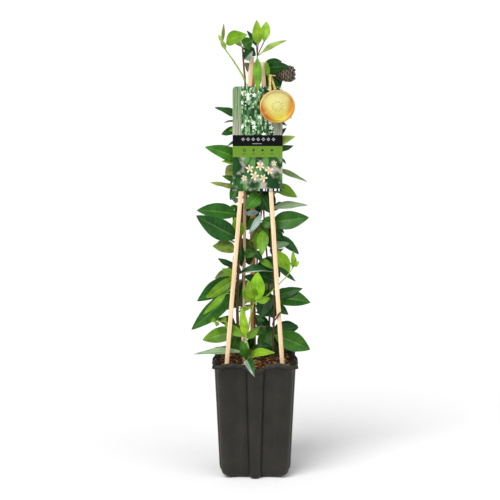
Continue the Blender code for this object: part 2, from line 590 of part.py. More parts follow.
# Leaves seen from the front: base and tip as across, up and depth, then width, how far the face is
# turned up from facing the front (degrees), and how far the middle is arched (all in millimetres)
LEAVES = {
    "vine_left": [
        ((-20, 658, -4), (-3, 668, 2), 20, 15, 3), ((-14, 658, -3), (1, 643, -6), 14, 20, 3),
        ((-19, 636, -4), (-4, 650, 4), 16, 10, 3), ((-21, 633, -2), (-11, 618, 8), 12, 20, 2),
        ((-21, 655, -3), (-30, 663, 8), 8.5, 40, 2), ((-22, 549, 3), (-61, 565, -4), 16, 60, 1),
        ((-23, 540, 3), (-47, 542, 18), 12, 80, 2), ((-24, 533, 3), (-51, 524, 2), 14, 30, 2),
        ((-23, 533, 3), (-39, 530, -8), 10, 20, 1), ((-25, 484, 3), (-76, 505, -14), 22, 25, 8),
        ((-26, 478, 1), (-51, 483, -24), 10, 15, 1), ((-25, 478, 2), (-45, 461, -8), 22, 10, 3),
        ((-26, 452, 1), (-50, 461, 6), 9, 40, 1), ((-27, 441, 0), (-68, 451, 8), 12, 60, 0),
        ((-29, 449, -1), (-38, 424, 4), 17, 15, 2), ((-28, 402, -6), (-89, 408, -10), 26, 32, 3),
        ((-28, 366, -12), (-90, 400, -24), 32, 4, 5), ((-31, 366, -12), (-31, 398, -28), 20, 10, 2),
        ((-29, 346, -12), (-65, 353, 2), 22, 40, 3), ((-29, 320, -14), (-57, 334, -2), 11, 40, -2),
        ((-29, 307, -16), (-51, 318, -24), 12, 10, 2), ((-29, 312, -16), (-62, 303, 6), 15, 30, 3),
        ((-29, 307, -8), (-89, 267, -12), 26, 22, 6), ((-24, 286, -17), (-98, 222, -8), 27, 5, 6),
        ((-45, 279, -29), (-80, 246, -36), 10, 0, 1), ((-27, 221, -12), (-81, 206, -8), 24, 22, 5),
        ((-25, 214, -12), (-38, 188, 4), 20, 5, 3), ((-25, 362, -12), (-21, 320, -10), 11, 0, 2),
        ((-29, 350, -10), (-33, 322, -2), 12, 0, 2), ((-29, 306, -17), (-76, 272, -30), 20, 15, 5),
    ],
    "vine_right": [
        ((19, 609, -9), (16, 635, -4), 8, 0, 2), ((14, 630, 5), (38.5, 596, 2), 32, -5, 3),
        ((12.5, 626, 9), (50.5, 627, 4), 17, 10, 2), ((25, 513, 4), (47, 534, 10), 9, 20, 1),
        ((26, 507, 4), (61, 521, -2), 14, 32, 2), ((26, 496, 3), (58, 507, 14), 12, 50, 1),
        ((26, 474, 2), (79, 452, -6), 12, 66, 0), ((25, 446, 0), (64, 428, -10), 18, 30, 5),
        ((24, 411, -3), (80, 416, 10), 15, 56, 3), ((23, 391, -4), (82, 397, -12), 28, 8, 5),
        ((24, 384, -4), (42, 362, 16), 16, 10, 2), ((26, 371, -5), (67, 340, -10), 15, 28, 8),
        ((26, 360, -5), (52, 357, 14), 14, -30, 2), ((31, 346, -5), (52, 312, -8), 22, 10, 4),
        ((29, 272, -3), (73, 287, 8), 15, 20, 3), ((29, 270, -1), (85, 265, -12), 28, 8, 5),
        ((29, 264, 0), (51, 246, 6), 13, 20, 2), ((28, 221, 4), (67, 226, 14), 19, 34, 2),
        ((28, 218, 5), (85, 191, -4), 30, 20, 8), ((26, 196, 6), (-6, 190, 2), 15, 52, 3),
        ((27, 316, -5), (-28, 309, -14), 16, 60, 7), ((28, 322, -5), (38, 304, 4), 9, 20, 1),
        ((34, 321, -8), (62, 298, -4), 8, 20, 1), ((13, 629, 8), (40, 634, 10), 13, 20, 2),
    ],
    "vine_middle": [
        ((4.2, 660, -3.5), (2, 696, -2), 15.5, 0, 2), ((13.5, 664, -1), (17, 693.5, 2), 14.5, 0, 2),
        ((2, 657, 1), (-12.5, 680, 4), 9, 50, 2), ((10, 647, -3), (47, 665.5, -8), 9.5, 45, 3),
        ((3.2, 639, -9), (4, 588, -9), 13, 0, 1), ((4, 398, -8), (-17, 378, 0), 14, 10, 2),
        ((5, 436, -3), (-16, 410, -8), 21, 0, 3), ((7, 436, -2), (20, 410, 2), 15, 10, 2),
        ((7, 404, -8), (-10, 372, -20), 10, -20, 3), ((5, 405, -7), (-17, 403, -4), 9, 10, 1),
        ((12, 376, -10), (10, 338, -24), 18, 0, 3), ((0, 338, -2), (-17, 343, -10), 14, 10, 2),
        ((-9, 300, 6), (-17, 306, 0), 12, 20, 1), ((-7, 300, 8), (-31, 258, 12), 30, 8, 3),
        ((11, 392, -8), (34, 386, -4), 18, 8, 2), ((-6, 310, 4), (33, 297, 2), 17, 20, 3),
        ((3, 333, -2), (29, 317, -6), 10, 30, 2), ((-4, 262, 10), (27, 245, 2), 18, 10, 3),
        ((-3, 250, 10), (30, 249, 16), 9, 20, 1), ((-3, 246, 10), (14, 236, -10), 10, -20, 1),
        ((-1, 228, 11), (17, 227, -4), 11, -25, 1), ((-2, 212, 11), (4, 226, -8), 13, 10, 2),
        ((-2, 347, -2), (10, 330, 12), 12, 10, 2), ((-1, 245, 11), (22, 210, 16), 24, 8, 3),
        ((8, 436, 0), (22, 404, 14), 18, 6, 3), ((-1, 214, 11), (-14, 188, 14), 14, 5, 2),
    ],
    "front_shoot": [
        ((-18, 187, -24), (-94, 184, -24), 13, 60, 3), ((-13, 178, -31), (-21, 206, -40), 15, 0, 2),
        ((-11, 178, -31), (31, 186, -40), 15, 38, 9), ((-13, 175, -32), (-1, 148, -75), 14, 25, 8),
        ((-15.5, 210, -31), (-21, 258, -34), 13, 0, 3), ((-1, 268, -28), (4, 313, -34), 24, 0, 3),
        ((-3, 268, -28), (-20, 285, -34), 16, 5, 2), ((0, 266, -28), (23, 272, -36), 11, 10, 1),
        ((-5, 263, -28), (-26, 250, -36), 6, 20, 2), ((59, 321, -20), (58, 346, -22), 7, 10, 1),
        ((60, 320, -20), (67, 329, -26), 7, 10, 1), ((56, 316, -20), (62, 336, -12), 8, 20, 1),
        ((-60, 237, -20), (-68, 236, -24), 8, 20, 1), ((-57, 237, -20), (-64, 243, -18), 7, 10, 1),
        ((-55, 236, -20), (-60, 228, -24), 7, 20, 1), ((-44, 232, -18), (-52, 242, -12), 9, 20, 1),
        ((-2, 272, -28), (-11, 300, -36), 18, 0, 2), ((-18, 212, -28), (-48, 232, -22), 14, 25, 3),
        ((-13, 210, -30), (7, 227, -30), 12, 10, 2),
    ],
    "top_left_shoot": [
        ((-47, 662, -18), (-47, 690, -20), 5, 10, 1), ((-49, 663, -18), (-55, 674, -18), 6, 10, 1),
        ((-43, 660, -18), (-12, 674, -12), 22, 30, 7), ((-46, 648, -18), (-52, 668, -19), 7, 10, 1),
    ],
}

# Leaves round the back grow in opposite pairs: first and last height, pairs, and the compass
# direction in degrees (0 to the right, 90 to the back) that the pairs fan out from
BACK_PAIRS = {
    "vine_back_left": (205, 555, 8, 150),
    "vine_back_right": (215, 540, 7, 30),
    "vine_left": (225, 490, 5, 165),
    "vine_right": (262, 548, 5, 15),
}


def half_width(t):
    """Half the breadth of a leaf blade, 1 at its widest, along its length from 0 to 1."""
    return min(1.0, 1.04 * math.sin(math.pi * t ** 0.92) ** 0.82 * (1.12 - 0.3 * t))


class Blade:
    """A leaf in place: where its stalk leaves the stem, where its blade begins and ends, its
    breadth, the way it faces and how far its middle is arched."""

    def __init__(self, root, base, tip, width, facing, arch, phase):
        self.root, self.base, self.width, self.arch, self.phase = root, base, width, arch, phase
        self.length = (tip - base).length
        self.along = (tip - base).normalized()
        self.up = (facing - self.along * facing.dot(self.along)).normalized()
        self.side = self.along.cross(self.up)

    def point(self, t, s):
        """A point of the middle surface: t from base to tip, s from edge -1 to edge 1."""
        breadth = max(half_width(t) * self.width / 2, STALK_HALF) if t < 1 else 0.0
        lift = self.arch * math.sin(math.pi * t) * (1.15 - 0.3 * t)
        lift += FOLD * (breadth - STALK_HALF) * abs(s) * 2
        ripple = math.sin(9 * t + self.phase + 1.3 * s)
        lift += EDGE_WAVE * ripple * s * s * min(1.0, breadth / (6 * MM)) ** 2
        return self.base + self.along * self.length * t + self.side * breadth * s + self.up * lift

    def mesh(self, thick, nudge=Vector()):
        """The closed leaf: a grid from the stem to the pinched tip, split alike on both faces."""
        rows = [None, 0.0, *(BLADE_STATIONS if self.length > SHORT_BLADE else SHORT_STATIONS), 1.0]
        bm = bmesh.new()
        bmesh.ops.create_grid(bm, x_segments=2, y_segments=len(rows) - 1, size=1.0)
        for vert in bm.verts:
            t, s = rows[round((vert.co.y + 1) / 2 * (len(rows) - 1))], round(vert.co.x)
            if not t:
                s = s or 1  # the stalk has no rib, only its two edges
            vert.co = self.root + nudge + self.side * STALK_HALF * s if t is None else self.point(t, s)
        bmesh.ops.remove_doubles(bm, verts=bm.verts, dist=1e-7)
        bmesh.ops.triangulate(bm, faces=bm.faces)
        upper = {vert: bm.verts.new(vert.co + self.up * thick / 2) for vert in list(bm.verts)}
        lower = {vert: bm.verts.new(vert.co - self.up * thick / 2) for vert in upper}
        for face in list(bm.faces):
            bm.faces.new([upper[v] for v in face.verts])
            bm.faces.new([lower[v] for v in reversed(face.verts)])
        for edge in [e for e in bm.edges if e.is_boundary and e.verts[0] in upper]:
            a, b = edge.verts
            bm.faces.new((upper[a], upper[b], lower[b]))
            bm.faces.new((upper[a], lower[b], lower[a]))
        bmesh.ops.delete(bm, geom=list(upper), context="VERTS")
        bmesh.ops.recalc_face_normals(bm, faces=bm.faces)
        return bm


def nearest_on(line, place):
    return min(line, key=lambda p: (p - place).length)


class Surroundings:
    """What a new leaf must not cross: each node's shapes grown so far, and the plain pieces."""

    def __init__(self):
        self.trees = []

    def add(self, node, bm):
        self.trees.append((node, BVHTree.FromBMesh(bm)))

    def add_object(self, made):
        bpy.context.view_layer.update()
        bm = bmesh.new()
        bm.from_mesh(evaluated_mesh(made))
        bm.transform(made.matrix_world)
        self.add(made.name, bm)
        bm.free()

    def crossings(self, node, bm):
        """How many foreign shapes and how many of the node's own leaves it would cross."""
        tree = BVHTree.FromBMesh(bm)
        foreign = own = 0
        for owner, other in self.trees:
            if owner != node + "_stem" and tree.overlap(other):
                if owner == node:
                    own += 1
                else:
                    foreign += 1
        return foreign, own


def bent_clear(node, lines, row, surroundings):
    """The leaf as listed or, where it would cross something, moved along its sight line and tilted."""
    base, tip, width, face, arch = row
    best = None
    for shift in (0, -4, 4, -8, 8, -13, 13, -19, 19, -26, 26):
        for tilt in (0, 14, -14, 30, -30):
            start = spot(base[0], base[1], base[2] + shift * 0.35)
            end = spot(tip[0], tip[1], tip[2] + shift)
            turn = math.radians(face + tilt)
            root = nearest_on(lines, start)
            way = (end - start).normalized()
            if (start - root).dot(way) < SHORTEST_STALK:
                start = root + way * SHORTEST_STALK
            blade = Blade(root, start, end, width * MM,
                          Vector((0, -math.cos(turn), math.sin(turn))), arch * MM, base[0] * 0.7 + tip[1])
            spare = blade.mesh(BLADE_THICK + 2 * CLEARANCE)
            score = surroundings.crossings(node, spare)
            spare.free()
            if best is None or score < best[0]:
                best = (score, blade)
            if score == (0, 0):
                return best
    return best


def fanned(row, number):
    """Short leaves lean by turns towards the front and the back, as they do round a stem."""
    base, tip, width, face, arch = row
    if math.hypot(tip[0] - base[0], tip[1] - base[1]) > FAN_BELOW or width < FAN_WIDTH:
        return row
    return base, (tip[0], tip[1], tip[2] + (FAN if number % 2 else -FAN)), width, face, arch


def back_row(lines, height, compass, length, width, drop):
    """A leaf of a pair, as a row like those of the front leaves, pointing to the compass direction."""
    foot = min(lines, key=lambda p: abs(p.z - height))
    way = Vector((math.cos(compass), math.sin(compass), drop)).normalized()
    base = foot + way * 6 * MM
    tip = base + way * length
    rows = []
    for place in (base, tip):
        near = 1 + place.y / SIGHT_DISTANCE
        up = (place.z - SIGHT_HEIGHT) / near + SIGHT_HEIGHT
        rows.append((place.x / near / MM, up / MM, place.y / MM))
    return rows[0], rows[1], width / MM, 70, 5


def back_rows(node, lines):
    low, high, pairs, heading = BACK_PAIRS[node]
    luck = random.Random(node)
    rows = []
    for pair in range(pairs):
        height = (low + (high - low) * pair / (pairs - 1)) * MM
        taper = 1.0 - 0.3 * pair / pairs
        spread = 62 if pair % 2 else 30
        sides = (-1, 1) if "back" in node else ((-1,) if "left" in node else (1,))
        for side in sides:
            compass = math.radians(heading + side * spread + luck.uniform(-12, 12))
            length = luck.uniform(50, 66) * taper * (1.0 - SIDEWAYS * abs(math.cos(compass))) * MM
            width = length * luck.uniform(0.4, 0.5)
            rows.append(back_row(lines, height, compass, length, width, luck.uniform(-0.35, 0.3)))
        if "back" in node:
            foot = min(lines, key=lambda p: abs(p.z - height - 18 * MM))
            across, up, depth = foot.x / MM, foot.z / MM, foot.y / MM
            for side in (-1, 1):
                lean = side * luck.uniform(5, 20)
                root = (across + lean * 0.2, up - 4, depth - 6)
                rows.append((root, (across + lean, up - 48, depth - 14), 26, 8, 3))
    return rows


def largest_body(mesh):
    """The mesh's largest body, welded; slivers and sealed hollows go. None if an edge of it has
    more or fewer than two faces."""
    bm = bmesh.new()
    bm.from_mesh(mesh)
    bmesh.ops.triangulate(bm, faces=bm.faces)
    bmesh.ops.remove_doubles(bm, verts=bm.verts, dist=WELD)
    left = set(bm.verts)
    bodies = []
    while left:
        body, reached = set(), [left.pop()]
        while reached:
            vert = reached.pop()
            body.add(vert)
            for link in vert.link_edges:
                other = link.other_vert(vert)
                if other in left:
                    left.remove(other)
                    reached.append(other)
        bodies.append(body)
    largest = max(bodies, key=len)
    bmesh.ops.delete(bm, geom=[v for body in bodies if body is not largest for v in body], context="VERTS")
    closed = all(vert.is_manifold for vert in bm.verts) and all(edge.is_manifold for edge in bm.edges)
    bm.to_mesh(mesh)
    bm.free()
    return mesh if closed else None


def make_stems(surroundings):
    """Each node's stems fused into one body, and the hole that its foot needs in the soil."""
    made, lines, holes = {}, {}, []
    for node, routes in STEMS.items():
        bodies, points = [], []
        for number, route in enumerate(routes):
            knots = [spot(*knot) for knot in route[:-1]]
            line = smooth_line(knots, STEM_STEP)
            radii = [1.0 - 0.45 * n / (len(line) - 1) for n in range(len(line))]
            bodies.append(wire(f"{node}_stem_{number + 1}", line, route[-1] * MM, None, sides=0,
                               radii=radii,
                               collection=cutters))
            points += smooth_line(knots, 4 * MM)
            surroundings.add_object(bodies[-1])
            surroundings.trees[-1] = (node + "_stem", surroundings.trees[-1][1])
        made[node], lines[node] = bodies, points
        if node != "top_left_shoot":
            foot = spot(*routes[0][0])
            thick = routes[0][-1] * MM + 2 * GAP
            above = foot + (spot(*routes[0][1]) - foot).normalized() * 30 * MM
            below = foot - (above - foot).normalized() * 2 * GAP
            holes.append(as_cutter(wire(node + "_hole", [below, above], thick * 1.04, None, sides=1,
                                        collection=cutters)))
    return made, lines, holes


def fused(node, bodies, blades):
    """The stems and leaves as one mesh. Shapes that only just touch spoil a union, so the leaves'
    roots, which lie inside the stems, are moved a little and it is tried again."""
    for attempt in range(UNION_TRIES):
        grown = bpy.data.collections.new(node + "_leaves")
        bpy.context.scene.collection.children.link(grown)
        for number, blade in enumerate(blades):
            nudge = Vector([random.uniform(-1, 1) * ROOT_NUDGE for axis in range(3)])
            from_bmesh(f"{node}_leaf_{number + 1}", blade.mesh(BLADE_THICK, nudge), None, grown)
        for other in bodies[1:]:
            grown.objects.link(other)
        main = placed(node, bodies[0].data.copy(), None, cutters)
        union = main.modifiers.new("leaves", "BOOLEAN")
        union.operation = "UNION"
        union.solver = "MANIFOLD"
        union.operand_type = "COLLECTION"
        union.collection = grown
        mesh = largest_body(settled(main).data)
        bpy.data.objects.remove(main, do_unlink=True)
        for other in bodies[1:]:
            grown.objects.unlink(other)
        for used in list(grown.objects):
            bpy.data.objects.remove(used, do_unlink=True)
        bpy.data.collections.remove(grown)
        if mesh:
            return mesh
    raise RuntimeError(f"{node}: no clean union in {UNION_TRIES} tries")


def grow(node, bodies, lines, surroundings):
    """Places the node's leaves and fuses them to its stems."""
    rows = list(LEAVES.get(node, []))
    if node in BACK_PAIRS:
        rows += back_rows(node, lines)
    blades = []
    for number, row in enumerate(rows):
        (crossed, _), blade = bent_clear(node, lines, fanned(row, number), surroundings)
        if not crossed:
            blades.append(blade)
            surroundings.add(node, blade.mesh(BLADE_THICK))
    mesh = fused(node, bodies, blades)
    for used in bodies:
        bpy.data.objects.remove(used, do_unlink=True)
    mesh.materials.clear()
    placed(node, mesh, "young_leaf" if "shoot" in node else "old_leaf")


random.seed(SEED)
around = Surroundings()
pot = make_pot()
cane_holes = make_canes()
plain = [pot, make_tie(), make_card(), make_ring(), make_disc(), make_strap(), make_cone()]
plain += [bpy.data.objects[name] for name in (*CANES, "starter_cane")]
for piece in plain:
    around.add_object(piece)
stem_bodies, stem_lines, stem_holes = make_stems(around)
soil = make_soil(cane_holes + stem_holes)
around.add_object(soil)
for name in STEMS:
    grow(name, stem_bodies[name], stem_lines[name], around)
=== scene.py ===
"""A star jasmine on three split canes in a deep square nursery pot, with its label card and gold disc.

Metres, +Z up. The origin is the middle of the pot's underside, and -Y is the side with the card.
"""

import itertools
import math
import random
from functools import partialmethod

import bmesh
import bpy
from mathutils import Matrix, Vector, noise
from mathutils.bvhtree import BVHTree


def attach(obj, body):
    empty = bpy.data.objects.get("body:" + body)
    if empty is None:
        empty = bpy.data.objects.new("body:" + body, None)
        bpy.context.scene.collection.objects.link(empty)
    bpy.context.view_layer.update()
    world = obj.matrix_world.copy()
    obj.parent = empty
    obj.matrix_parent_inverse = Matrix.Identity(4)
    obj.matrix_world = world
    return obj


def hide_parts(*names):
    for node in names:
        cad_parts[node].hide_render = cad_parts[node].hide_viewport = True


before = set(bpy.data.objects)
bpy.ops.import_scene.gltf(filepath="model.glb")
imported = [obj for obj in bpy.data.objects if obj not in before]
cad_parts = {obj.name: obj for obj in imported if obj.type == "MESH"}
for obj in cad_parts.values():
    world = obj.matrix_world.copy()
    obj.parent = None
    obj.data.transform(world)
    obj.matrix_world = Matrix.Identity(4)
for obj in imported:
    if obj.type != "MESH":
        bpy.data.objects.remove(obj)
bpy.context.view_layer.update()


# Camera: a long lens a little above the plant's top, looking slightly down, as in the photograph.
# Places seen from the front are worked out from where it stands.
MM = 0.001
SIGHT_ACROSS = -0.0078
SIGHT_DISTANCE = 2.887
SIGHT_HEIGHT = 0.86
LOOK_DOWN = 10.08
LENS = 138.4

camera = bpy.data.objects.new("camera", bpy.data.cameras.new("camera"))
camera.data.sensor_width = 36.0
camera.data.lens = LENS
camera.data.clip_end = 60.0
camera.location = (SIGHT_ACROSS, -SIGHT_DISTANCE, SIGHT_HEIGHT)
camera.rotation_euler = (math.radians(90 - LOOK_DOWN), 0, 0)
bpy.context.scene.collection.objects.link(camera)
bpy.context.scene.camera = camera


# Pot: blow-moulded black polypropylene, deep and square, with a rounded rib up each side that
# stiffens it, hollow flanks, a flared lip that waves over each rib, and a foot lifted at its edge.
POT_FOOT_HALF = 51.0 * MM
POT_NECK_HALF = 58.0 * MM
POT_NECK_HEIGHT = 168.0 * MM
POT_WALL = 1.5 * MM
POT_FLOOR = 2.5 * MM
POT_CORNER = 10.0 * MM
RIB_TOP_HALF = 14.2 * MM
RIB_FOOT_HALF = 9.3 * MM
RIB_STAND = 4.9 * MM
CREASE_DEPTH = 3.8 * MM
FLANK_DIP = 2.2 * MM
RIM_HEIGHT = 178.0 * MM
RIM_CREST = 6.2 * MM
RIM_SAG = 2.5 * MM
CORNER_WAVE = 0.5
FOOT_LIFT = 4.6 * MM
FOOT_LIFT_HEIGHT = 40.0 * MM
FOOT_FLAT_HALF = 40.0 * MM
DRAIN_RADIUS = 4.5 * MM
DRAIN_OUT = 27.0 * MM
DRILL_LENGTH = 30.0 * MM
TURN_STEPS = 4
ONE_POINT = 1e-7

# Half of one side, from its corner to the crest of its rib: where each place lies, in shares of the
# flat and of the rib's half, and how far it follows the rib, the crease, the flank, the rim's wave
# and the foot's lift
SIDE = {
    "start": (1.0, 0.0, 0.0, 0.0, 0.0, CORNER_WAVE, 1.0),
    "flank": (0.58, 0.3, 0.0, 0.45, 1.0, 1.0, 1.0),
    "gutter": (0.0, 1.14, 0.0, 0.86, 0.3, 0.5, 0.95),
    "crease": (0.0, 1.0, 0.0, 1.0, 0.0, 0.25, 0.9),
    "wall": (0.0, 0.9, 0.36, 0.42, 0.0, -0.05, 0.78),
    "shoulder": (0.0, 0.62, 0.72, 0.0, 0.0, -0.7, 0.35),
    "crest": (0.0, 0.0, 1.0, 0.0, 0.0, -1.0, 0.0),
}

# The foot's turns: height, how far drawn in and how much sharper at the corner (mm), and the shares
# of the rib's stand, of the crease's depth and of the foot's lift
FOOT_TURNS = ((0.2, 4.5, 2, 0.7, 0.5, 0.75), (0.9, 2.2, 1, 0.8, 0.7, 0.92), (2.4, 1.0, 0, 0.85, 0.9, 1.0),
              (5.0, 0.4, 0, 0.84, 0.96, 0.8))
WALL_HEIGHTS = (9, 24, 40, 70, 100, 130, 150, 160, 168)

# The lip's turns, out and over to the inside: how far below the rim, half the breadth and the rib's
# stand (mm), the shares of the crease's depth and of the rim's wave, and the inset (mm)
LIP_TURNS = ((7.6, 59.6, 3.4, 0.85, 0.86, 0), (6.6, 62.8, 1.5, 0.7, 0.9, 0), (6.0, 65.4, 1.0, 0.7, 1.0, 0),
             (5.3, 65.44, 1.0, 0.7, 1.0, 0), (0.6, 64.32, 1.5, 0.7, 1.0, 0), (0, 64.2, 1.6, 0.7, 1.0, 0.4),
             (0, 64.2, 1.6, 0.7, 1.0, 1.1), (0.6, 64.2, 1.6, 0.7, 1.0, 1.5))


class Socket:
    """What a node of a finish gives out; sums are written on it as on numbers."""

    def __init__(self, finish, output):
        self.finish, self.output = finish, output

    def math(self, operation, *others):
        return self.finish.node("ShaderNodeMath", {"operation": operation}, [self, *others])

    __add__ = __radd__ = partialmethod(math, "ADD")
    __sub__ = partialmethod(math, "SUBTRACT")
    __mul__ = __rmul__ = partialmethod(math, "MULTIPLY")
    __truediv__ = partialmethod(math, "DIVIDE")
    __pow__ = partialmethod(math, "POWER")
    __mod__ = partialmethod(math, "FLOORED_MODULO")
    __abs__ = partialmethod(math, "ABSOLUTE")
    __lt__ = partialmethod(math, "LESS_THAN")
    __gt__ = partialmethod(math, "GREATER_THAN")

    def __rsub__(self, other):
        return self * -1 + other

    def rise(self, low, high):
        """0 below low, 1 above high, smooth between."""
        return self.finish.node("ShaderNodeMapRange", {"interpolation_type": "SMOOTHSTEP"},
                                {"Value": self, "From Min": low, "From Max": high})

    def between(self, low, high):
        return (self > low) * (self < high)

    def parts(self):
        return [self.finish.node("ShaderNodeSeparateXYZ", {}, [self], number) for number in range(3)]


class Finish:
    """A material in the making, round the shader that Blender gives it."""

    def __init__(self, name, rough, metal=0.0, **constants):
        self.material = bpy.data.materials.new(name)
        self.material.use_nodes = True
        self.tree = self.material.node_tree
        self.shader = self.tree.nodes["Principled BSDF"]
        self.shade(Roughness=rough, Metallic=metal, **constants)

    def feed(self, socket, value):
        if isinstance(value, Socket):
            self.tree.links.new(value.output, socket)
        elif socket.type == "RGBA":
            socket.default_value = (*value[:3], 1.0)
        else:
            socket.default_value = value

    def node(self, kind, settings, values, output=0):
        """Any node: its settings first, then the values or links of its sockets."""
        made = self.tree.nodes.new(kind)
        for name, value in settings.items():
            if name == "stops":
                ramp = made.color_ramp
                ramp.elements.remove(ramp.elements[1])
                for number, (place, colour) in enumerate(value):
                    stop = ramp.elements.new(place) if number else ramp.elements[0]
                    stop.position = place
                    stop.color = (*colour, 1.0)
            else:
                setattr(made, name, value)
        for key, value in values.items() if isinstance(values, dict) else enumerate(values):
            self.feed(made.inputs[key], value)
        return Socket(self, made.outputs[output])

    def place(self):
        return self.node("ShaderNodeTexCoord", {}, {}, "Object")

    def moved(self, place, shift=(0, 0, 0), turn=(0, 0, 0), stretch=(1, 1, 1)):
        values = {"Vector": place, "Location": shift, "Rotation": turn, "Scale": stretch}
        return self.node("ShaderNodeMapping", {}, values)

    def mottle(self, place, scale, detail=2.0, rough=0.5):
        values = {"Vector": place, "Scale": scale, "Detail": detail, "Roughness": rough}
        return self.node("ShaderNodeTexNoise", {}, values)

    def mix(self, amount, first, second, blend="MIX"):
        """Two colours mixed; this node's sockets for colours go by number."""
        settings = {"data_type": "RGBA", "blend_type": blend}
        return self.node("ShaderNodeMix", settings, {0: amount, 6: first, 7: second}, 2)

    def times(self, first, second):
        return self.mix(1.0, first, second, "MULTIPLY")

    def coated(self, colour, *coats):
        """A colour under coats: how much of each shows, and its own colour."""
        for amount, coat in coats:
            colour = self.mix(amount, colour, coat)
        return colour

    def painted(self, name, output="Color"):
        """A colour or vector kept on the mesh's points."""
        return self.node("ShaderNodeAttribute", {"attribute_name": name}, {}, output)

    def relief(self, height, depth, strength):
        values = {"Height": height, "Distance": depth, "Strength": strength}
        self.shade(Normal=self.node("ShaderNodeBump", {}, values))

    def shade(self, **sockets):
        for name, value in sockets.items():
            self.feed(self.shader.inputs[name.replace("_", " ")], value)


def blank():
    """An empty mesh whose points can hold a colour and a place of their own."""
    bm = bmesh.new()
    bm.verts.layers.float_color.new("tint")
    bm.verts.layers.float_vector.new("place")
    return bm


def tinted(bm, verts, colour):
    """Paints these points of the mesh."""
    layer = bm.verts.layers.float_color["tint"]
    for vert in verts:
        vert[layer] = (*colour[:3], 1.0)


def gridded(bm, columns, rows):
    """A grid of new points, each with its column and its row."""
    made = bmesh.ops.create_grid(bm, x_segments=columns, y_segments=rows, size=1.0)["verts"]
    return [(vert, round((vert.co.x + 1) / 2 * columns), round((vert.co.y + 1) / 2 * rows)) for vert in made]


def merged(bm, grid):
    """The grid's points once those that lie in one place are one."""
    bmesh.ops.remove_doubles(bm, verts=[vert for vert, _, _ in grid], dist=ONE_POINT)
    return [vert for vert, _, _ in grid if vert.is_valid]


def faced_out(bm, faces):
    """Turns a closed shell's faces outwards: its volume is below 0 while they point inwards."""
    bmesh.ops.recalc_face_normals(bm, faces=faces)
    volume = 0.0
    for face in faces:
        face.normal_update()
        volume += face.normal.dot(face.calc_center_median()) * face.calc_area()
    if volume < 0:
        bmesh.ops.reverse_faces(bm, faces=faces)


def laid(bm, rows):
    """A tube over rows of points, each a turn round it, with its open ends filled."""
    around = len(rows[0])
    grid = gridded(bm, around, len(rows) - 1)
    for vert, column, row in grid:
        vert.co = rows[row][column % around]
    verts = merged(bm, grid)
    rims = {edge for vert in verts for edge in vert.link_edges if edge.is_boundary}
    bmesh.ops.holes_fill(bm, edges=list(rims), sides=0)
    faced_out(bm, list({face for vert in verts for face in vert.link_faces}))
    return verts


def through(knots, steps, closed=False):
    """Points along a smooth curve through the knots."""
    if closed:
        ends = [knots[-1], *knots, knots[0], knots[1]]
    else:
        ends = [knots[0] * 2 - knots[1], *knots, knots[-1] * 2 - knots[-2]]
    line = []
    for before, start, end, after in zip(ends, ends[1:], ends[2:], ends[3:]):
        count = steps if isinstance(steps, int) else max(1, round((end - start).length / steps))
        for number in range(count):
            t = number / count
            line.append(0.5 * (2 * start + (end - before) * t
                               + (2 * before - 5 * start + 4 * end - after) * t ** 2
                               + (3 * start - before - 3 * end + after) * t ** 3))
    return line if closed else line + [knots[-1]]


def placed(name, bm):
    """The mesh as an object in the scene."""
    mesh = bpy.data.meshes.new(name)
    bm.to_mesh(mesh)
    bm.free()
    thing = bpy.data.objects.new(name, mesh)
    bpy.context.scene.collection.objects.link(thing)
    return thing


def shown(name, bm, node, *finishes):
    """A finished piece: its mesh and materials, the node that it stands for, riding on the body."""
    piece = placed(name, bm)
    for finish in finishes:
        piece.data.materials.append(finish.material)
    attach(piece, "root")
    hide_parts(node)
    return piece


def turn(height, half, rib_half, corner=POT_CORNER, stand=0.0, dip=0.0, wave=0.0, lift=0.0, inset=0.0):
    """One turn round the pot's outline at a height, as points on a smooth closed curve."""
    half -= inset
    corner = max(corner - inset, 1.0 * MM)
    rib_half -= inset * 0.4
    flat = half - corner
    right = []
    for of_flat, of_rib, rib, crease, flank, wavy, lifted in SIDE.values():
        out = half + rib * stand - dip * (crease * CREASE_DEPTH + flank * FLANK_DIP)
        rise = (RIM_CREST if wavy > 0 else RIM_SAG) * wavy * wave + lifted * lift
        right.append(Vector((flat * of_flat + rib_half * of_rib, -out, height + rise)))
    corner_height = height + RIM_CREST * CORNER_WAVE * wave + lift
    bend = [Vector((flat + corner * math.sin(angle), -flat - corner * math.cos(angle), corner_height))
            for angle in (math.pi / 6, math.pi / 3)]
    side = [Vector((-p.x, p.y, p.z)) for p in right] + right[-2::-1] + bend
    knots = [Matrix.Rotation(quarter * math.pi / 2, 3, "Z") @ p for quarter in range(4) for p in side]
    return through(knots, TURN_STEPS, closed=True)


def pot_half(height):
    return POT_FOOT_HALF + (POT_NECK_HALF - POT_FOOT_HALF) * height / POT_NECK_HEIGHT


def rib_half_at(height):
    return RIB_FOOT_HALF + (RIB_TOP_HALF - RIB_FOOT_HALF) * height / POT_NECK_HEIGHT


def side_turn(height, inset=0.0):
    """A turn of the tapering side, between foot and neck."""
    up = height / POT_NECK_HEIGHT
    low = 1 - min(1.0, height / FOOT_LIFT_HEIGHT)
    return turn(height, pot_half(height), rib_half_at(height), stand=RIB_STAND * (0.8 + 0.2 * up), dip=1.0,
                lift=FOOT_LIFT * 0.66 * low ** 1.5, wave=0.8 * max(0.0, up * 3 - 2), inset=inset)


